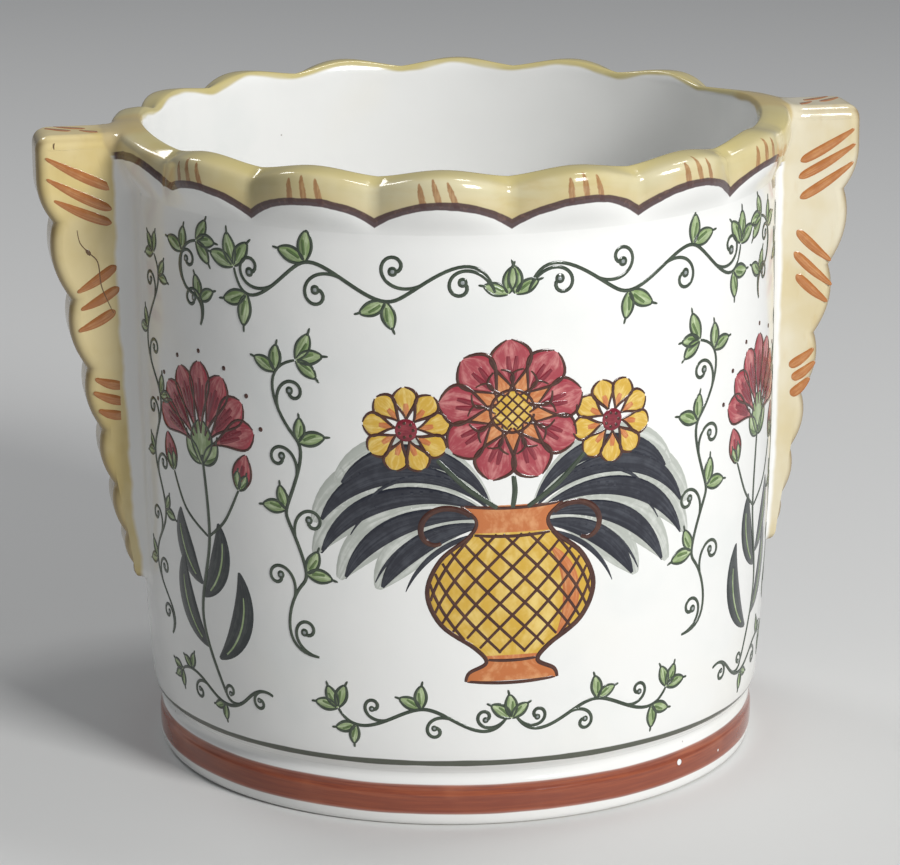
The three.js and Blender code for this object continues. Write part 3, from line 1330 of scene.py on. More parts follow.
    def row(self, share: float) -> list[Vector]:
        """Gives one row of the ring, from out on the plate through the corner to out on the skin.

        Args:
            share: Place round the plate's section.

        Returns:
            The row's points, in millimetres, for the handle on the +X side.
        """
        corner = self.start(share)
        _gap, from_plate = self.plate_gap(corner)
        middle, away = self.settle(corner, 6)
        on_plate = self.walk(middle, away, Vector((1, 0, 0)))
        on_skin = self.walk(middle, away, from_plate)
        return [*reversed(on_plate), middle + away * self.lift, *on_skin]

    def settle(self, spot: Vector, rounds: int) -> tuple[Vector, Vector]:
        """Moves a point onto the smooth union of skin and plate.

        Args:
            spot: The point.
            rounds: How often it is moved.

        Returns:
            The point on the union, and the direction away from it.
        """
        away = Vector((1, 0, 0))
        for _ in range(rounds):
            skin, from_skin = self.skin_gap(spot)
            plate, from_plate = self.plate_gap(spot)
            blend = self.blend(spot.z)
            near = max(blend - abs(skin - plate), 0) / blend
            level = min(skin, plate) - near * near * blend / 4
            lean = min(max(0.5 + 0.5 * (plate - skin) / blend, 0.0), 1.0)
            away = (from_skin * lean + from_plate * (1 - lean)).normalized()
            spot = spot - away * level
        return spot, away

    def walk(self, spot: Vector, away: Vector, heading: Vector) -> list[Vector]:
        """Walks over the union from the corner, and dips below it at the end.

        Args:
            spot: Where the walk starts.
            away: The direction away from the union there.
            heading: Roughly which way to go.

        Returns:
            The points after the start.
        """
        count = self.columns // 2
        stride = self.blend(spot.z) * self.overlap / count
        points = []
        for step in range(1, count + 1):
            heading = (heading - away * heading.dot(away)).normalized()
            spot, away = self.settle(spot + heading * stride, 3)
            points.append(spot + away * (self.lift - self.dip * (step / count) ** 8))
        return points


def interpolate(stops: Sequence[Point], place: float) -> float:
    """Reads a value off a line through stops, kept level beyond its ends.

    Args:
        stops: Places in rising order, with their values.
        place: Where to read.

    Returns:
        The value.
    """
    for (x0, y0), (x1, y1) in zip(stops, stops[1:]):
        if place <= x1:
            share = min(max((place - x0) / (x1 - x0), 0.0), 1.0)
            return y0 + (y1 - y0) * share
    return stops[-1][1]


# Painted decoration


def bow(base: Point, heading: float, length: float, bend: float, steps: int = 14) -> list[Point]:
    """Gives the points of a stroke that starts in one direction and turns evenly.

    Args:
        base: Where it starts.
        heading: Its first direction in degrees, anticlockwise from the right.
        length: Its length.
        bend: How far it turns on its way, in degrees, to the left where positive.
        steps: How many steps it takes.

    Returns:
        The points.
    """
    points = [base]
    x, y = base
    for step in range(steps):
        direction = math.radians(heading + bend * (step + 0.5) / steps)
        x += math.cos(direction) * length / steps
        y += math.sin(direction) * length / steps
        points.append((x, y))
    return points


def spiral(
    base: Point, heading: float, length: float, side: int, start: float = 14.0, end: float = 1.5
) -> list[Point]:
    """Gives the points of a tendril that curls up.

    Args:
        base: Where it starts.
        heading: Its first direction in degrees.
        length: Its length.
        side: 1 to curl left, -1 to curl right.
        start: Its radius where it starts.
        end: Its radius where it ends.

    Returns:
        The points.
    """
    steps = 34
    points = [base]
    x, y = base
    direction = math.radians(heading)
    for step in range(steps):
        share = (step + 0.5) / steps
        direction += side * (1 / start + (1 / end - 1 / start) * share**2.2) * length / steps
        x += math.cos(direction) * length / steps
        y += math.sin(direction) * length / steps
        points.append((x, y))
    return points


def heading_at(points: Sequence[Point], index: int) -> float:
    """Gives a path's direction at a point, in degrees."""
    before, after = points[max(index - 1, 0)], points[min(index + 1, len(points) - 1)]
    return math.degrees(math.atan2(after[1] - before[1], after[0] - before[0]))


def beside(points: Sequence[Point], index: int, aside: float) -> Point:
    """Gives the point beside one of a path's points.

    Args:
        points: The path.
        index: Which of its points.
        aside: Distance to the left of the path.

    Returns:
        The point.
    """
    direction = math.radians(heading_at(points, index))
    x, y = points[index]
    return (x - math.sin(direction) * aside, y + math.cos(direction) * aside)


def out(centre: Point, heading: float, distance: float) -> Point:
    """Gives the point at a distance and a direction, in degrees, from a centre."""
    turn = math.radians(heading)
    return (centre[0] + math.cos(turn) * distance, centre[1] + math.sin(turn) * distance)


def petal_widths(count: int, width: float, belly: float = 0.5) -> list[float]:
    """Gives a petal's half-widths along its length.

    Args:
        count: How many points its middle line has.
        width: Its greatest width.
        belly: Where it is widest, as a share of its length.

    Returns:
        The half-widths.
    """
    power = math.log(0.5) / math.log(belly)
    shares = [step / (count - 1) for step in range(count)]
    return [max(width / 2 * math.sin(math.pi * share**power) ** 0.8, 0.03) for share in shares]


def stroke_widths(count: int, width: float, start: float = 0.35, end: float = 0.25) -> list[float]:
    """Gives a pointed brush stroke's half-widths: pressed in the middle, light at both ends.

    Args:
        count: How many points its middle line has.
        width: Its greatest width.
        start: Its width where it starts, as a share.
        end: Its width where it ends, as a share.

    Returns:
        The half-widths.
    """
    widths = []
    for step in range(count):
        t = step / (count - 1)
        press = math.sin(math.pi * t) ** 0.6
        ends = start * (1 - t) + end * t
        widths.append(max(width / 2 * (ends + (1 - ends) * press), 0.05))
    return widths


class Pigment(Enum):
    """The painter's pigments, each a piece of its own."""

    GREY_WASH = BrushPaint("grey_wash", seen(176, 180, 172), seen(214, 216, 210), 0.9, 0.5)
    OCHRE_WASH = BrushPaint("ochre_wash", seen(205, 165, 62), seen(230, 205, 128), 0.8, 0.3)
    ORANGE_WASH = BrushPaint("orange_wash", seen(190, 112, 62), seen(218, 160, 110), 0.8, 0.5)
    ROSE_WASH = BrushPaint("rose_wash", seen(160, 62, 72), seen(206, 138, 134), 0.85, 0.5)
    CRIMSON = BrushPaint("crimson", seen(120, 34, 48), seen(164, 72, 78), 0.6, 0.3)
    LEAF_GREEN = BrushPaint("leaf_green", seen(128, 150, 98), seen(190, 204, 164), 0.8, 0.4, 0.35)
    LEAF_SHADE = BrushPaint("leaf_shade", seen(84, 108, 62), seen(126, 146, 96), 0.7, 0.3)
    GREY_BEAD = BrushPaint("grey_bead", seen(140, 146, 146), seen(176, 180, 178), 0.6, 0.2)
    DARK_LEAF = BrushPaint("dark_leaf", seen(42, 48, 50), seen(92, 98, 94), 0.45, 0.2)
    PLUME = BrushPaint("plume", seen(36, 38, 48), seen(84, 88, 96), 0.5, 0.2)
    BROWN_LINE = BrushPaint("brown_line", seen(66, 38, 32), seen(110, 72, 56), 0.5, 0.1)
    VINE_LINE = BrushPaint("vine_line", seen(56, 66, 54), seen(98, 110, 92), 0.5, 0.1)
    HANDLE_STROKE = BrushPaint("handle_stroke", seen(170, 108, 60), seen(196, 144, 94), 0.8, 0.5)
    CRACK = BrushPaint("crack_line", seen(104, 78, 54), seen(142, 112, 78), 0.6, 0.1)


# How far each pigment's film stands off the glaze
LIFTS = {
    Pigment.GREY_WASH: 0.012,
    Pigment.PLUME: 0.024,
    Pigment.DARK_LEAF: 0.024,
    Pigment.OCHRE_WASH: 0.036,
    Pigment.ORANGE_WASH: 0.046,
    Pigment.ROSE_WASH: 0.056,
    Pigment.CRIMSON: 0.066,
    Pigment.LEAF_GREEN: 0.06,
    Pigment.LEAF_SHADE: 0.072,
    Pigment.BROWN_LINE: 0.09,
    Pigment.VINE_LINE: 0.09,
    Pigment.GREY_BEAD: 0.11,
    Pigment.HANDLE_STROKE: 0.04,
    Pigment.CRACK: 0.06,
}


class Palette:
    """Lays brush strokes on surfaces, and gathers them into one piece for each pigment."""

    column_width: float = 1.2
    edge_width: float = 0.12
    edge_lift: float = -0.03
    lift_spread: float = 0.004
    depth: float = 0.15
    stroke_pitch: float = 1.37
    handle_start: float = 77.5
    handle_face: float = 7.55

    def __init__(self) -> None:
        """Starts with no strokes, and a hand whose unsteadiness is the same at each run."""
        self.meshes: dict[Pigment, bmesh.types.BMesh] = {}
        self.hand = random.Random(23)
        self.strokes = 0

    def film(
        self, pigment: Pigment, surface: Surface, spine: Sequence[Point], widths: Sequence[float]
    ) -> None:
        """Lays one stroke as a film whose border dips into the glaze.

        Args:
            pigment: What it is painted with.
            surface: Gives a position for two flat coordinates and a lift.
            spine: The stroke's middle line.
            widths: Its half-widths at the line's points.
        """
        bm = self.meshes.get(pigment)
        if bm is None:
            bm = self.meshes[pigment] = bmesh.new()
            bm.loops.layers.uv.new("brush")
        layer = bm.loops.layers.uv["brush"]
        rows = len(spine) - 1
        columns = max(4, 2 * math.ceil(max(widths) / self.column_width))
        inner = 1 - 2 / columns
        made = bmesh.ops.create_grid(bm, x_segments=rows, y_segments=columns, size=1.0)
        lift = LIFTS[pigment] + self.lift_spread * self.hand.random()
        places = {}
        faces = set()
        for vert in made["verts"]:
            share, across = (vert.co.x + 1) / 2, vert.co.y
            index = round(share * rows)
            border = abs(across) > inner + 1e-6
            if not border:
                across *= (1 - min(self.edge_width / widths[index], 0.2)) / inner
            sunk = border or index in (0, rows)
            flat = beside(spine, index, widths[index] * across)
            vert.co = surface(*flat, self.edge_lift if sunk else lift)
            places[vert] = (share, across)
            faces.update(vert.link_faces)
        self.strokes += 1
        for face in faces:
            for loop in face.loops:
                share, across = places[loop.vert]
                loop[layer].uv = (self.strokes * self.stroke_pitch + share, (across + 1) / 2)

    def pieces(self) -> list[bpy.types.Object]:
        """Turns each pigment's strokes into a piece with a thin body under the glaze.

        Returns:
            The pieces.
        """
        made = []
        for pigment, bm in self.meshes.items():
            self.face_out(bm)
            slot = "yellow_glaze" if pigment in (Pigment.HANDLE_STROKE, Pigment.CRACK) else "white_glaze"
            piece = new_piece(f"painted_{pigment.value.name}", bm, pigment.value.material())
            body = piece.modifiers.new("film", "SOLIDIFY")
            body.thickness = self.depth * MM
            body.offset = -1.0
            made.append(piece)
        return made

    def face_out(self, bm: bmesh.types.BMesh) -> None:
        """Turns every film's faces away from the pot.

        Args:
            bm: One pigment's films.
        """
        bm.normal_update()
        for face in bm.faces:
            middle = face.calc_center_median()
            if abs(middle.x) <= self.handle_start * MM:
                away = Vector((middle.x, middle.y, 0))
            elif abs(middle.y) > self.handle_face * MM:
                away = Vector((0, middle.y, 0))
            else:
                away = Vector((0, 0, 1))
            if face.normal.dot(away) < 0:
                face.normal_flip()


@dataclass
class Panel:
    """A stretch of the wall to paint on, centred at an angle and mirrored where asked."""

    palette: Palette
    centre: float
    flip: int = 1

    def surface(self, along: float, height: float, lift: float) -> Vector:
        """Maps the panel's flat coordinates to the wall."""
        place = math.radians(self.centre) * MEAN_RADIUS + along * self.flip
        return FORM.on_wall(place, height, lift)

    def paint(self, pigment: Pigment, spine: Sequence[Point], widths: Sequence[float]) -> None:
        """Lays a stroke on the panel."""
        self.palette.film(pigment, self.surface, spine, widths)

    def line(
        self, pigment: Pigment, spine: Sequence[Point], width: float, start: float = 0.35, end: float = 0.25
    ) -> None:
        """Draws a thin line that thickens in its middle."""
        self.paint(pigment, spine, stroke_widths(len(spine), width, start, end))

    def edge(self, pigment: Pigment, spine: Sequence[Point], widths: Sequence[float], width: float) -> None:
        """Draws a shape's outline in two lines, one up each side.

        Args:
            pigment: What it is drawn with.
            spine: The shape's middle line.
            widths: The shape's half-widths.
            width: The line's width.
        """
        for side in (-1, 1):
            border = [beside(spine, index, half * side) for index, half in enumerate(widths)]
            self.line(pigment, border, width * self.palette.hand.uniform(0.85, 1.15), 0.5, 0.4)

    def petal(
        self,
        pigment: Pigment,
        base: Point,
        heading: float,
        length: float,
        width: float,
        bend: float = 0.0,
        belly: float = 0.6,
        outline: Pigment | None = Pigment.BROWN_LINE,
        line: float = 0.45,
    ) -> list[Point]:
        """Paints a petal or a leaf with an outline.

        Args:
            pigment: The petal's colour.
            base: Where it starts.
            heading: Its direction in degrees.
            length: Its length.
            width: Its greatest width.
            bend: How far it turns, in degrees.
            belly: Where it is widest, as a share of its length.
            outline: The outline's pigment, or None for none.
            line: The outline's width.

        Returns:
            The petal's middle line.
        """
        spine = bow(base, heading, length, bend)
        widths = petal_widths(len(spine), width, belly)
        self.paint(pigment, spine, widths)
        if outline is not None:
            self.edge(outline, spine, widths, line)
        return spine

    def leaflet(self, base: Point, heading: float, size: float = 7.4, bend: float = 14.0) -> None:
        """Paints a small pale green leaf with a dark outline and a shaded side.

        Args:
            base: Where it starts.
            heading: Its direction in degrees.
            size: Its length.
            bend: How far it turns, in degrees.
        """
        spine = self.petal(
            Pigment.LEAF_GREEN, base, heading, size, size * 0.45, bend, 0.5, Pigment.VINE_LINE, 0.72
        )
        ahead = heading_at(spine, len(spine) - 1)
        tip = bow(out(spine[-1], ahead, -size * 0.13), ahead, size * 0.32, bend * 0.4, 6)
        self.line(Pigment.VINE_LINE, tip, 0.62, 1.0, 0.3)
        shade = bow(spine[2], heading - bend * 0.6, size * 0.62, bend, 8)
        self.line(Pigment.LEAF_SHADE, shade, size * 0.13, 0.5, 0.3)

    def sprig(self, base: Point, heading: float, size: float = 7.4, count: int = 2) -> None:
        """Paints two or three leaflets that part from one point.

        Args:
            base: The point.
            heading: The direction of their middle, in degrees.
            size: Their length.
            count: How many there are.
        """
        hand = self.palette.hand
        for number in range(count):
            spread = (number - (count - 1) / 2) * (58 if count == 2 else 46)
            reach = size * hand.uniform(0.86, 1.05)
            self.leaflet(base, heading + spread + hand.uniform(-6, 6), reach, math.copysign(14, spread))

    def dot(self, pigment: Pigment, centre: Point, size: float) -> None:
        """Paints a round dot.

        Args:
            pigment: Its colour.
            centre: Its centre.
            size: Its width.
        """
        spine = [(centre[0] - size / 2 + size * step / 8, centre[1]) for step in range(9)]
        widths = [max(math.sqrt(max(size**2 / 4 - (x - centre[0]) ** 2, 0)), 0.04) for x, _ in spine]
        self.paint(pigment, spine, widths)

    def tendril(self, base: Point, heading: float, side: int, size: float = 1.0, turns: float = 1.0) -> None:
        """Draws a tendril that curls up into a bead.

        Args:
            base: Where it leaves the stem.
            heading: Its first direction in degrees.
            side: 1 to curl left, -1 to curl right.
            size: Its size, 1 for about 9 mm across.
            turns: How far it curls, 1 for a little more than once round.
        """
        points = spiral(base, heading, 22.0 * size * turns, side, 8.5 * size, 1.3 * size)
        self.line(Pigment.VINE_LINE, points, 0.84, 0.7, 1.2)
        self.dot(Pigment.VINE_LINE, points[-1], 2.3 * size)
        self.dot(Pigment.GREY_BEAD, points[-1], 1.0 * size)

    def stem(self, stops: Sequence[Point], width: float) -> None:
        """Draws a smooth stem through stops."""
        self.line(Pigment.VINE_LINE, flow(stops, 10), width, 0.7, 0.7)

    def scroll(
        self,
        stops: Sequence[Point],
        bends: int,
        swing: float,
        first: int = 1,
        size: float = 1.0,
        leaf: float = 7.2,
        crown: int = 3,
    ) -> None:
        """Paints a running scroll: a waving stem with a curl in every bend and leaves outside it.

        Args:
            stops: Points of the line that the stem waves about.
            bends: How many bends it has.
            swing: How far it swings to either side.
            first: 1 where the first bend lies left of the line, -1 where it lies right.
            size: Size of its curls.
            leaf: Length of its leaves.
            crown: How many leaves end it.
        """
        line = flow(stops, 60 // (len(stops) - 1))
        last = len(line) - 1
        points = [
            beside(line, index, first * swing * math.sin(math.pi * bends * index / last))
            for index in range(len(line))
        ]
        self.line(Pigment.VINE_LINE, points, 0.92, 0.7, 0.7)
        for bend in range(bends):
            side = first if bend % 2 == 0 else -first
            start = round((bend + 0.02) / bends * last)
            crest = round((bend + 0.55) / bends * last)
            self.tendril(points[start], heading_at(points, max(start, 1)) + side * 6, -side, size)
            if bend > 0 or bends < 3:
                self.sprig(points[crest], heading_at(points, crest) + side * 64, leaf)
        if crown:
            self.sprig(points[-1], heading_at(points, last), leaf * 1.05, crown)


@dataclass
class Bouquet:
    """A folk bouquet in a latticed vase, painted in the middle of a panel."""

    panel: Panel
    vase_profile: tuple[Point, ...] = (
        (35.0, 10.5),
        (37.2, 9.6),
        (39.5, 5.8),
        (43.0, 8.4),
        (48.5, 15.8),
        (56.0, 18.8),
        (63.5, 15.8),
        (69.0, 9.4),
        (72.6, 8.0),
        (76.0, 11.4),
    )
    belly: float = 18.8
    belly_height: float = 56.0
    lattice_pitch: float = 5.6
    lattice_span: Point = (41.5, 69.5)
    blooms: tuple[Point, ...] = ((-23.0, 93.0), (23.0, 93.0))

    def build(self) -> None:
        """Paints the plumes, the vase and the flowers."""
        self.plumes()
        self.stems()
        self.vase()
        for centre in self.blooms:
            self.daisy(centre, 1 if centre[0] < 0 else -1)
        self.crown((0.0, 97.0))

    def vase(self) -> None:
        """Paints the vase's body, foot and neck, its lattice and its two small handles."""
        panel = self.panel
        curve = flow(self.vase_profile, 6)
        spine = [(0.0, height) for height, _ in curve]
        widths = [half for _, half in curve]
        for side in (-1, 1):
            ear = spiral((side * 9.0, 73.5), 90 - side * 48, 21, -side, 8.5, 2.4)
            panel.line(Pigment.BROWN_LINE, ear, 1.5, 0.8, 0.5)
        panel.paint(Pigment.OCHRE_WASH, spine, widths)
        for start, end in ((0, 17), (42, len(curve))):
            panel.paint(Pigment.ORANGE_WASH, spine[start:end], widths[start:end])
        shade = bow((9.5, 44.0), 48, 25.0, 92, 16)
        panel.paint(Pigment.ORANGE_WASH, shade, petal_widths(len(shade), 4.2, 0.5))
        for way in (-1, 1):
            for number in range(-9, 10):
                self.hatch(curve, way, number)
        panel.edge(Pigment.BROWN_LINE, spine, widths, 1.25)
        for height in (35.2, 40.2, 69.3, 75.9):
            half = interpolate(curve, height)
            panel.line(Pigment.BROWN_LINE, bow((-half, height), -7, 2 * half, 14), 0.85, 0.7, 0.7)

    def hatch(self, curve: Sequence[Point], way: int, number: int) -> None:
        """Draws one line of the lattice, bowed with the vase's roundness.

        Args:
            curve: Heights and half-widths of the vase.
            way: 1 for a line that rises to the right, -1 for one that rises to the left.
            number: Which line, 0 in the middle.
        """
        low, high = self.lattice_span
        run = []
        for step in range(71):
            height = low + (high - low) * step / 70
            swing = (number * self.lattice_pitch + way * (height - self.belly_height)) / self.belly
            place = math.sin(max(min(swing, math.pi / 2), -math.pi / 2)) * self.belly
            if abs(swing) < math.pi / 2 and abs(place) < interpolate(curve, height) - 0.2:
                run.append((place, height))
        if len(run) > 5:
            self.panel.line(Pigment.BROWN_LINE, run, 0.8, 0.8, 0.8)

    def plumes(self) -> None:
        """Paints the long dark leaves that arch out from the vase, over a grey wash."""
        panel = self.panel
        arches = (
            (70.0, 42.0, -126.0),
            (54.0, 47.0, -120.0),
            (37.0, 46.0, -104.0),
            (20.0, 40.0, -88.0),
            (3.0, 31.0, -70.0),
        )
        for side in (-1, 1):
            for number, (heading, length, bend) in enumerate(arches):
                facing = heading if side == 1 else 180 - heading
                spine = bow((side * 4.0, 74.5 - number * 0.6), facing, length * 1.06, bend * side, 24)
                panel.paint(Pigment.GREY_WASH, spine, petal_widths(len(spine), 9.0, 0.62))
            for number, (heading, length, bend) in enumerate(arches):
                start = (side * 4.5, 75.0 - number * 0.9)
                facing = heading if side == 1 else 180 - heading
                spine = bow(start, facing, length, bend * side, 24)
                panel.paint(Pigment.PLUME, spine, petal_widths(len(spine), 4.9, 0.56))
                below = (start[0], start[1] - 1.6)
                inner = bow(below, facing - side * 6, length * 0.82, bend * side * 0.96, 18)
                panel.paint(Pigment.PLUME, inner, petal_widths(len(inner), 1.4, 0.5))

    def stems(self) -> None:
        """Draws the stems that join the flowers to the vase."""
        for points in (
            [(0, 75), (0.5, 79), (0.2, 82.5)],
            [(-3, 75), (-10, 80), (-16.5, 86.5)],
            [(3, 75), (10, 80), (16.5, 86.5)],
        ):
            self.panel.stem(points, 1.3)

    def daisy(self, centre: Point, lean: int) -> None:
        """Paints a daisy of ochre petals round a crimson eye.

        Args:
            centre: Its centre.
            lean: Which way its petals bend.
        """
        panel = self.panel
        for number in range(9):
            heading = number * 40 + 8 * lean
            base = out(centre, heading, 2.2)
            panel.petal(Pigment.OCHRE_WASH, base, heading, 7.6, 5.3, 14 * lean, 0.68, line=0.78)
            inner = bow(out(centre, heading, 2.6), heading, 4.0, 8 * lean, 6)
            panel.line(Pigment.ORANGE_WASH, inner, 1.5, 0.6, 0.2)
        panel.dot(Pigment.CRIMSON, centre, 5.2)
        for number in range(7):
            panel.dot(Pigment.BROWN_LINE, out(centre, number * 51.4, 1.6), 0.85)

    def crown(self, centre: Point) -> None:
        """Paints the middle flower: rose petals, orange inner petals and a latticed ochre heart.

        Args:
            centre: Its centre.
        """
        panel = self.panel
        for number in range(9):
            heading = number * 40 + 90
            base = out(centre, heading, 5.2)
            spine = panel.petal(Pigment.ROSE_WASH, base, heading, 11.0, 9.0, 8, 0.62, line=0.9)
            for side in (-1, 1):
                fold = bow(spine[1], heading + side * 13, 7.2, -side * 10, 8)
                panel.line(Pigment.CRIMSON, fold, 1.4, 0.5, 0.15)
        for number in range(9):
            heading = number * 40 + 70
            base = out(centre, heading, 3.4)
            panel.petal(Pigment.ORANGE_WASH, base, heading, 6.6, 5.8, 0, 0.62, line=0.72)
        panel.dot(Pigment.OCHRE_WASH, centre, 9.6)
        ring = [out(centre, step * 15, 4.8) for step in range(25)]
        panel.line(Pigment.BROWN_LINE, ring, 0.8, 0.8, 0.8)
        for tilt in (-45, 45):
            for number in (-2, -1, 0, 1, 2):
                offset = number * 1.8
                half = math.sqrt(4.5**2 - offset**2)
                start = out(out(centre, tilt + 90, offset), tilt, -half)
                panel.line(Pigment.BROWN_LINE, bow(start, tilt, 2 * half, 0, 6), 0.5, 0.8, 0.8)


@dataclass
class Carnation:
    """A tall folk carnation with blade leaves, painted beside a handle."""

    panel: Panel
    middle: float = 76.0
    level: float = 88.0

    def build(self) -> None:
        """Paints the stem, the blades, the buds and the flower."""
        panel = self.panel
        x, y = self.middle, self.level
        panel.stem([(x - 4, 25), (x + 2.5, 42), (x - 1.5, 62), (x, y - 6)], 1.15)
        for base, heading, length, bend in (
            ((x - 2.0, 33.0), 152, 27, -84),
            ((x + 0.4, 35.0), 30, 25, 78),
            ((x + 2.2, 47.0), 146, 22, -74),
            ((x + 1.4, 50.0), 32, 20, 66),
        ):
            spine = bow(base, heading, length, bend, 20)
            panel.paint(Pigment.DARK_LEAF, spine, petal_widths(len(spine), 6.6, 0.5))
            vein = bow(out(base, heading, 3), heading + bend * 0.1, length * 0.68, bend * 0.72)
            panel.line(Pigment.LEAF_GREEN, vein, 0.62, 0.6, 0.3)
        for side in (-1, 1):
            bud = out((x, y), -90 + side * 42, 17.5)
            panel.stem([(x - 1.2, 62), (x + side * 7, y - 21), bud], 0.8)
            self.bud(bud, 90 - side * 16)
        self.flower((x, y - 6))

    def bud(self, base: Point, heading: float) -> None:
        """Paints a closed bud with a green cup.

        Args:
            base: Where it starts.
            heading: Its direction in degrees.
        """
        panel = self.panel
        panel.petal(Pigment.ROSE_WASH, base, heading, 9.0, 5.4, 0, 0.45, line=0.6)
        panel.line(Pigment.CRIMSON, bow(out(base, heading, 1.5), heading, 5.5, 0, 6), 1.5, 0.6, 0.2)
        for side in (-1, 1):
            panel.leaflet(base, heading + side * 30, 4.6, -side * 26)

    def flower(self, base: Point) -> None:
        """Paints the fan of notched petals over its green cup.

        Args:
            base: Where the petals meet.
        """
        panel = self.panel
        for number in (-3, 3, -2, 2, -1, 1, 0):
            heading = 90 - number * 21
            start = out(base, heading, 3.0)
            length = 18.0 - abs(number) * 0.9
            spine = panel.petal(Pigment.ROSE_WASH, start, heading, length, 7.0, -number * 3, 0.74, line=0.74)
            for side in (-1, 0, 1):
                streak = bow(spine[3], heading + side * 11, length * (0.62 - abs(side) * 0.08), -side * 6, 8)
                panel.line(Pigment.CRIMSON, streak, 1.7 - abs(side) * 0.5, 0.3, 0.2)
            panel.line(Pigment.OCHRE_WASH, bow(spine[1], heading, length * 0.3, 0, 6), 1.1, 0.8, 0.2)
            panel.dot(Pigment.BROWN_LINE, out(spine[-1], heading, 2.0), 1.15)
        cup = bow(out(base, -90, 3.5), 90, 11.0, 0)
        widths = petal_widths(len(cup), 7.4, 0.55)
        panel.paint(Pigment.LEAF_GREEN, cup, widths)
        panel.edge(Pigment.VINE_LINE, cup, widths, 0.7)
        for side in (-1, 1):
            panel.leaflet(out(base, -90, 3.0), 90 + side * 62, 8.0, -side * 40)


@dataclass
class HandlePanel:
    """A handle to paint on: its top, and its front where it faces -1 or its back where 1."""

    side: Side
    facing: int = 1

    def face(self, along: float, height: float, lift: float) -> Vector:
        """Maps flat coordinates to the front or the back, out over the joint with the wall.

        Args:
            along: Distance from the pot's axis.
            height: Height above the ground.
            lift: Distance out from the surface.

        Returns:
            The place.
        """
        half, blend = WingHandle.thickness / 2, HandleJoint.wall_blend
        gap = math.hypot(along, half) - FORM.wall_radius(height)
        near = max(1 - gap / blend, 0.0)
        joint = near * near * blend / 4
        return Vector((along * self.side.value, self.facing * (half + joint + lift), height)) * MM

    def top(self, along: float, inward: float, lift: float) -> Vector:
        """Maps flat coordinates to the level top."""
        return Vector((along * self.side.value, inward, WingHandle.top + lift)) * MM


# Both ends of each stroke on the handles' faces, as distance from the axis and height
HANDLE_STROKES = {
    Side.RIGHT: (
        ((81.6, 135.6), (94.6, 142.9)),
        ((81.2, 131.7), (94.9, 139.3)),
        ((81.6, 126.8), (94.5, 135.0)),
        ((81.0, 119.2), (89.4, 111.5)),
        ((80.4, 114.0), (89.7, 105.6)),
        ((81.0, 108.5), (88.7, 101.6)),
        ((79.6, 86.3), (85.6, 90.4)),
        ((80.3, 83.2), (86.0, 87.2)),
        ((80.0, 79.3), (84.7, 83.3)),
    ),
    Side.LEFT: (
        ((79.4, 136.0), (94.4, 143.6)),
        ((79.7, 131.2), (94.3, 138.8)),
        ((79.8, 128.0), (92.8, 133.8)),
        ((79.1, 118.2), (88.2, 112.2)),
        ((78.6, 113.1), (87.5, 108.1)),
        ((79.6, 107.7), (88.2, 103.1)),
        ((78.3, 89.8), (84.8, 91.7)),
        ((77.9, 86.0), (85.3, 88.5)),
        ((78.2, 82.7), (84.2, 84.2)),
    ),
}


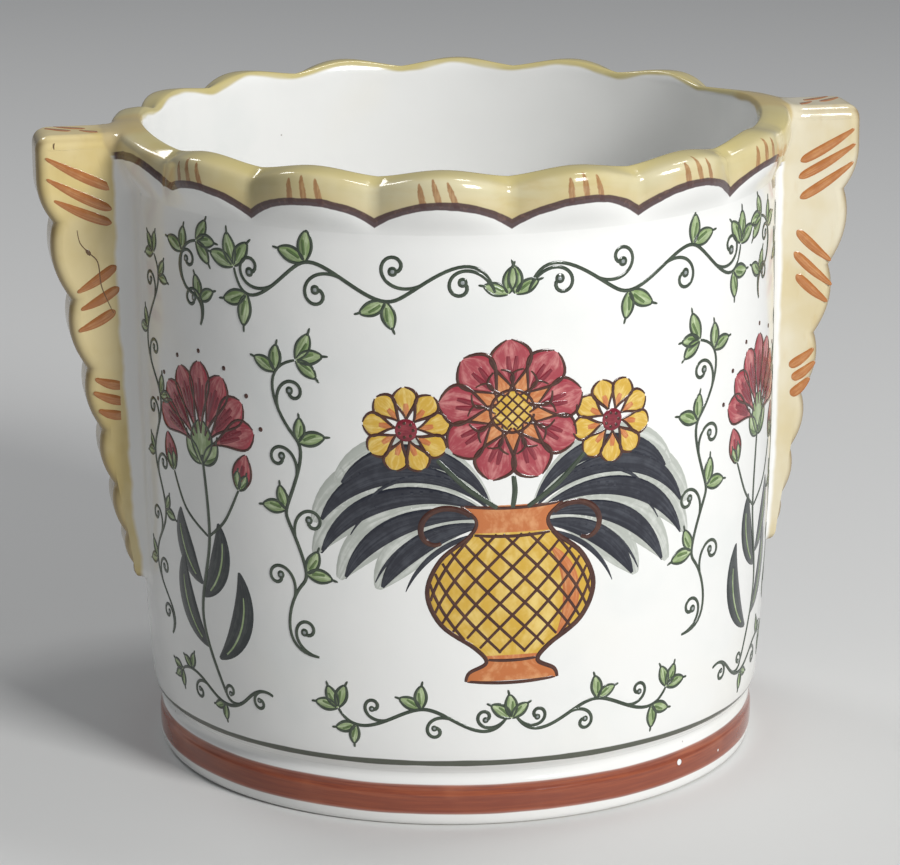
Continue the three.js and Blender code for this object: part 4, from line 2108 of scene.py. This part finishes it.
class Painter:
    """Paints the whole pot."""

    top_strokes: tuple[tuple[Point, Point], ...] = (
        ((84.5, 1.0), (91.5, 5.0)),
        ((88.0, -1.2), (93.5, 3.4)),
        ((81.5, -4.0), (86.0, -0.6)),
    )
    crack: tuple[Point, ...] = (
        (87.8, 126.9),
        (87.2, 123.8),
        (85.4, 121.5),
        (83.3, 119.1),
        (82.7, 113.8),
        (81.3, 109.9),
        (79.9, 106.7),
    )
    crack_spot: tuple[Point, ...] = ((86.0, 122.3), (85.6, 121.8), (85.2, 121.2), (84.8, 120.6))
    nick: tuple[Point, ...] = ((92.2, 147.0), (92.4, 146.2), (92.3, 145.4))

    def __init__(self) -> None:
        """Starts with an unused palette."""
        self.palette = Palette()

    def build(self) -> list[bpy.types.Object]:
        """Paints the wall and the handles.

        Returns:
            The painted pieces.
        """
        for centre in (0.0, 180.0):
            panel = Panel(self.palette, centre)
            Bouquet(panel).build()
            self.base_scroll(panel)
            for flip in (-1, 1):
                self.half_panel(Panel(self.palette, centre, flip))
        for side in Side:
            self.handle_strokes(side)
        return self.palette.pieces()

    def base_scroll(self, panel: Panel) -> None:
        """Paints the low scroll under the bouquet, alike on both sides of its middle.

        Args:
            panel: The panel to paint on.
        """
        for flip in (-1, 1):
            half = Panel(panel.palette, panel.centre, flip)
            half.scroll([(1.0, 26.5), (20, 25.5), (40, 27.5)], 3, 3.0, -1, 0.66, 5.6)
        panel.sprig((0.0, 26.0), 90, 5.6, 3)

    def half_panel(self, panel: Panel) -> None:
        """Paints the scrolls and the carnation on one side of a panel.

        Args:
            panel: The panel's half, with its flip set.
        """
        panel.scroll([(3.5, 123.0), (24, 126.5), (47, 124), (64, 126)], 4, 5.0, 1, 1.0, 7.2)
        panel.sprig((0.8, 123.0), 60, 6.6)
        panel.scroll([(44, 39), (51, 55), (47, 72), (52, 90), (48, 107)], 5, 4.2, -1, 0.86, 6.6)
        panel.scroll([(94, 34), (97, 54), (94.5, 77), (97, 100), (95, 124)], 7, 3.0, 1, 0.68, 5.2)
        panel.scroll([(57, 27.5), (66, 24.5), (78, 25), (90, 26.5)], 3, 2.0, 1, 0.6, 4.6)
        panel.scroll([(75, 111), (80, 119), (76, 130)], 2, 3.4, 1, 0.8, 6.4)
        Carnation(panel).build()

    def handle_strokes(self, side: Side) -> None:
        """Brushes the groups of slanting strokes on a handle's faces and top.

        Args:
            side: Which handle.
        """
        for facing in (-1, 1):
            face = HandlePanel(side, facing).face
            for start, end in HANDLE_STROKES[side]:
                self.handle_stroke(face, start, end)
            if side is Side.LEFT and facing == -1:
                self.crack_lines(face)
        for start, end in self.top_strokes:
            self.handle_stroke(HandlePanel(side).top, start, end, 2.2)

    def crack_lines(self, face: Surface) -> None:
        """Draws the fine crack in the left handle's glaze, a wide spot in it and a nick above it.

        Args:
            face: The handle's front.
        """
        crack = flow(self.crack, 5)
        self.palette.film(Pigment.CRACK, face, crack, stroke_widths(len(crack), 0.28, 0.5, 0.3))
        self.palette.film(Pigment.CRACK, face, self.crack_spot, (0.1, 0.5, 0.5, 0.1))
        self.palette.film(Pigment.CRACK, face, self.nick, (0.08, 0.16, 0.08))

    def handle_stroke(self, surface: Surface, start: Point, end: Point, width: float = 2.5) -> None:
        """Brushes one stroke that starts full and lifts off thin.

        Args:
            surface: The face that it lies on.
            start: Its full end.
            end: Its thin end.
            width: Its greatest width.
        """
        count = 24
        points = []
        widths = []
        for step in range(count):
            t = (1 - math.cos(math.pi * step / (count - 1))) / 2
            sag = math.sin(math.pi * t) * 0.35
            points.append((start[0] + (end[0] - start[0]) * t, start[1] + (end[1] - start[1]) * t - sag))
            round_end = math.sqrt(1 - (1 - min(t / 0.1, (1 - t) / 0.04, 1.0)) ** 2)
            press = math.sin(math.pi * (0.1 + 0.87 * t**0.7)) ** 0.6
            widths.append(max(width / 2 * press * round_end, 0.05))
        self.palette.film(Pigment.HANDLE_STROKE, surface, points, widths)


# Studio


@dataclass(frozen=True)
class Viewpoint:
    """The photograph's camera: where it stands and how it is turned."""

    distance: float = 862.8
    height: float = 306.8
    azimuth: float = -9.86
    pitch: float = 15.21
    yaw: float = -0.05
    roll: float = -0.47
    lens: float = 150.99
    sensor_width: float = 36.0

    def build(self) -> None:
        """Creates the scene's camera."""
        azimuth, pitch = math.radians(self.azimuth), math.radians(self.pitch)
        yaw, roll = math.radians(self.yaw), math.radians(self.roll)
        up = Vector((0, 0, 1))
        ahead = Vector((-math.sin(azimuth), math.cos(azimuth), 0))
        aside = Vector((math.cos(azimuth), math.sin(azimuth), 0))
        level = ahead * math.cos(yaw) + aside * math.sin(yaw)
        right = aside * math.cos(yaw) - ahead * math.sin(yaw)
        looking = level * math.cos(pitch) - up * math.sin(pitch)
        above = up * math.cos(pitch) + level * math.sin(pitch)
        turned_right = right * math.cos(roll) + above * math.sin(roll)
        turned_up = above * math.cos(roll) - right * math.sin(roll)
        data = bpy.data.cameras.new("photo_camera")
        data.lens = self.lens
        data.sensor_width = self.sensor_width
        data.clip_start, data.clip_end = 0.01, 50.0
        camera = bpy.data.objects.new("photo_camera", data)
        place = (math.sin(azimuth) * self.distance, -math.cos(azimuth) * self.distance, self.height)
        turn = Matrix((turned_right, turned_up, -looking)).transposed().to_4x4()
        camera.matrix_world = Matrix.Translation(Vector(place) * MM) @ turn
        bpy.context.scene.collection.objects.link(camera)
        bpy.context.scene.camera = camera


@dataclass(frozen=True)
class Lamp:
    """A soft square lamp that looks at the pot."""

    name: str
    place: tuple[float, float, float]
    size: float
    power: float
    target: tuple[float, float, float] = (0.0, 0.0, 0.08)

    def build(self) -> None:
        """Creates the lamp."""
        data = bpy.data.lights.new(self.name, "AREA")
        data.shape = "SQUARE"
        data.size = self.size
        data.energy = self.power
        lamp = bpy.data.objects.new(self.name, data)
        lamp.location = self.place
        ahead = Vector(self.target) - Vector(self.place)
        lamp.rotation_euler = ahead.to_track_quat("-Z", "Y").to_euler()
        bpy.context.scene.collection.objects.link(lamp)


@dataclass(frozen=True)
class Studio:
    """A pale floor, soft lamps and an even surround."""

    floor_size: float = 12.0
    floor_colour: Colour = seen(214, 214, 212)
    floor_roughness: float = 0.9
    surround_colour: Colour = (0.9, 0.93, 1.0, 1.0)
    surround_strength: float = 0.2
    lamps: tuple[Lamp, ...] = (
        Lamp("key", (0.68, -1.18, 0.8), 0.42, 21.0),
        Lamp("back", (-0.55, 0.85, 1.1), 0.3, 3.0),
        Lamp("top", (0.45, 0.1, 1.35), 0.28, 3.8),
    )

    def build(self) -> None:
        """Creates the floor, the lamps and the world."""
        bm = bmesh.new()
        bmesh.ops.create_grid(bm, x_segments=1, y_segments=1, size=self.floor_size / 2)
        mesh = bpy.data.meshes.new("studio_floor")
        bm.to_mesh(mesh)
        bm.free()
        shader = Shader("studio_floor")
        paint = {"Base Color": self.floor_colour, "Roughness": self.floor_roughness}
        surface = shader.node("ShaderNodeBsdfPrincipled", inputs=paint)
        output = shader.node("ShaderNodeOutputMaterial")
        shader.tree.links.new(surface.outputs[0], output.inputs[0])
        mesh.materials.append(shader.material)
        floor = bpy.data.objects.new("studio_floor", mesh)
        bpy.context.scene.collection.objects.link(floor)
        for lamp in self.lamps:
            lamp.build()
        world = bpy.data.worlds.new("studio")
        world.use_nodes = True
        background = world.node_tree.nodes["Background"]
        background.inputs[0].default_value = self.surround_colour
        background.inputs[1].default_value = self.surround_strength
        bpy.context.scene.world = world
        bpy.context.scene.view_settings.view_transform = "Standard"


def main() -> None:
    """Builds the scene, piece by piece."""
    logging.basicConfig(level=logging.INFO, format="%(message)s")
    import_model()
    Viewpoint().build()
    Studio().build()
    pieces = [PotShell().build(), FootRing().build()]
    for side, glaze in HANDLE_GLAZES.items():
        pieces += WingHandle(side, glaze).build()
    pieces += Painter().build()
    for piece in pieces:
        log.info("%s: %d faces", piece.name, len(piece.data.polygons))


if __name__ == "__main__":
    main()
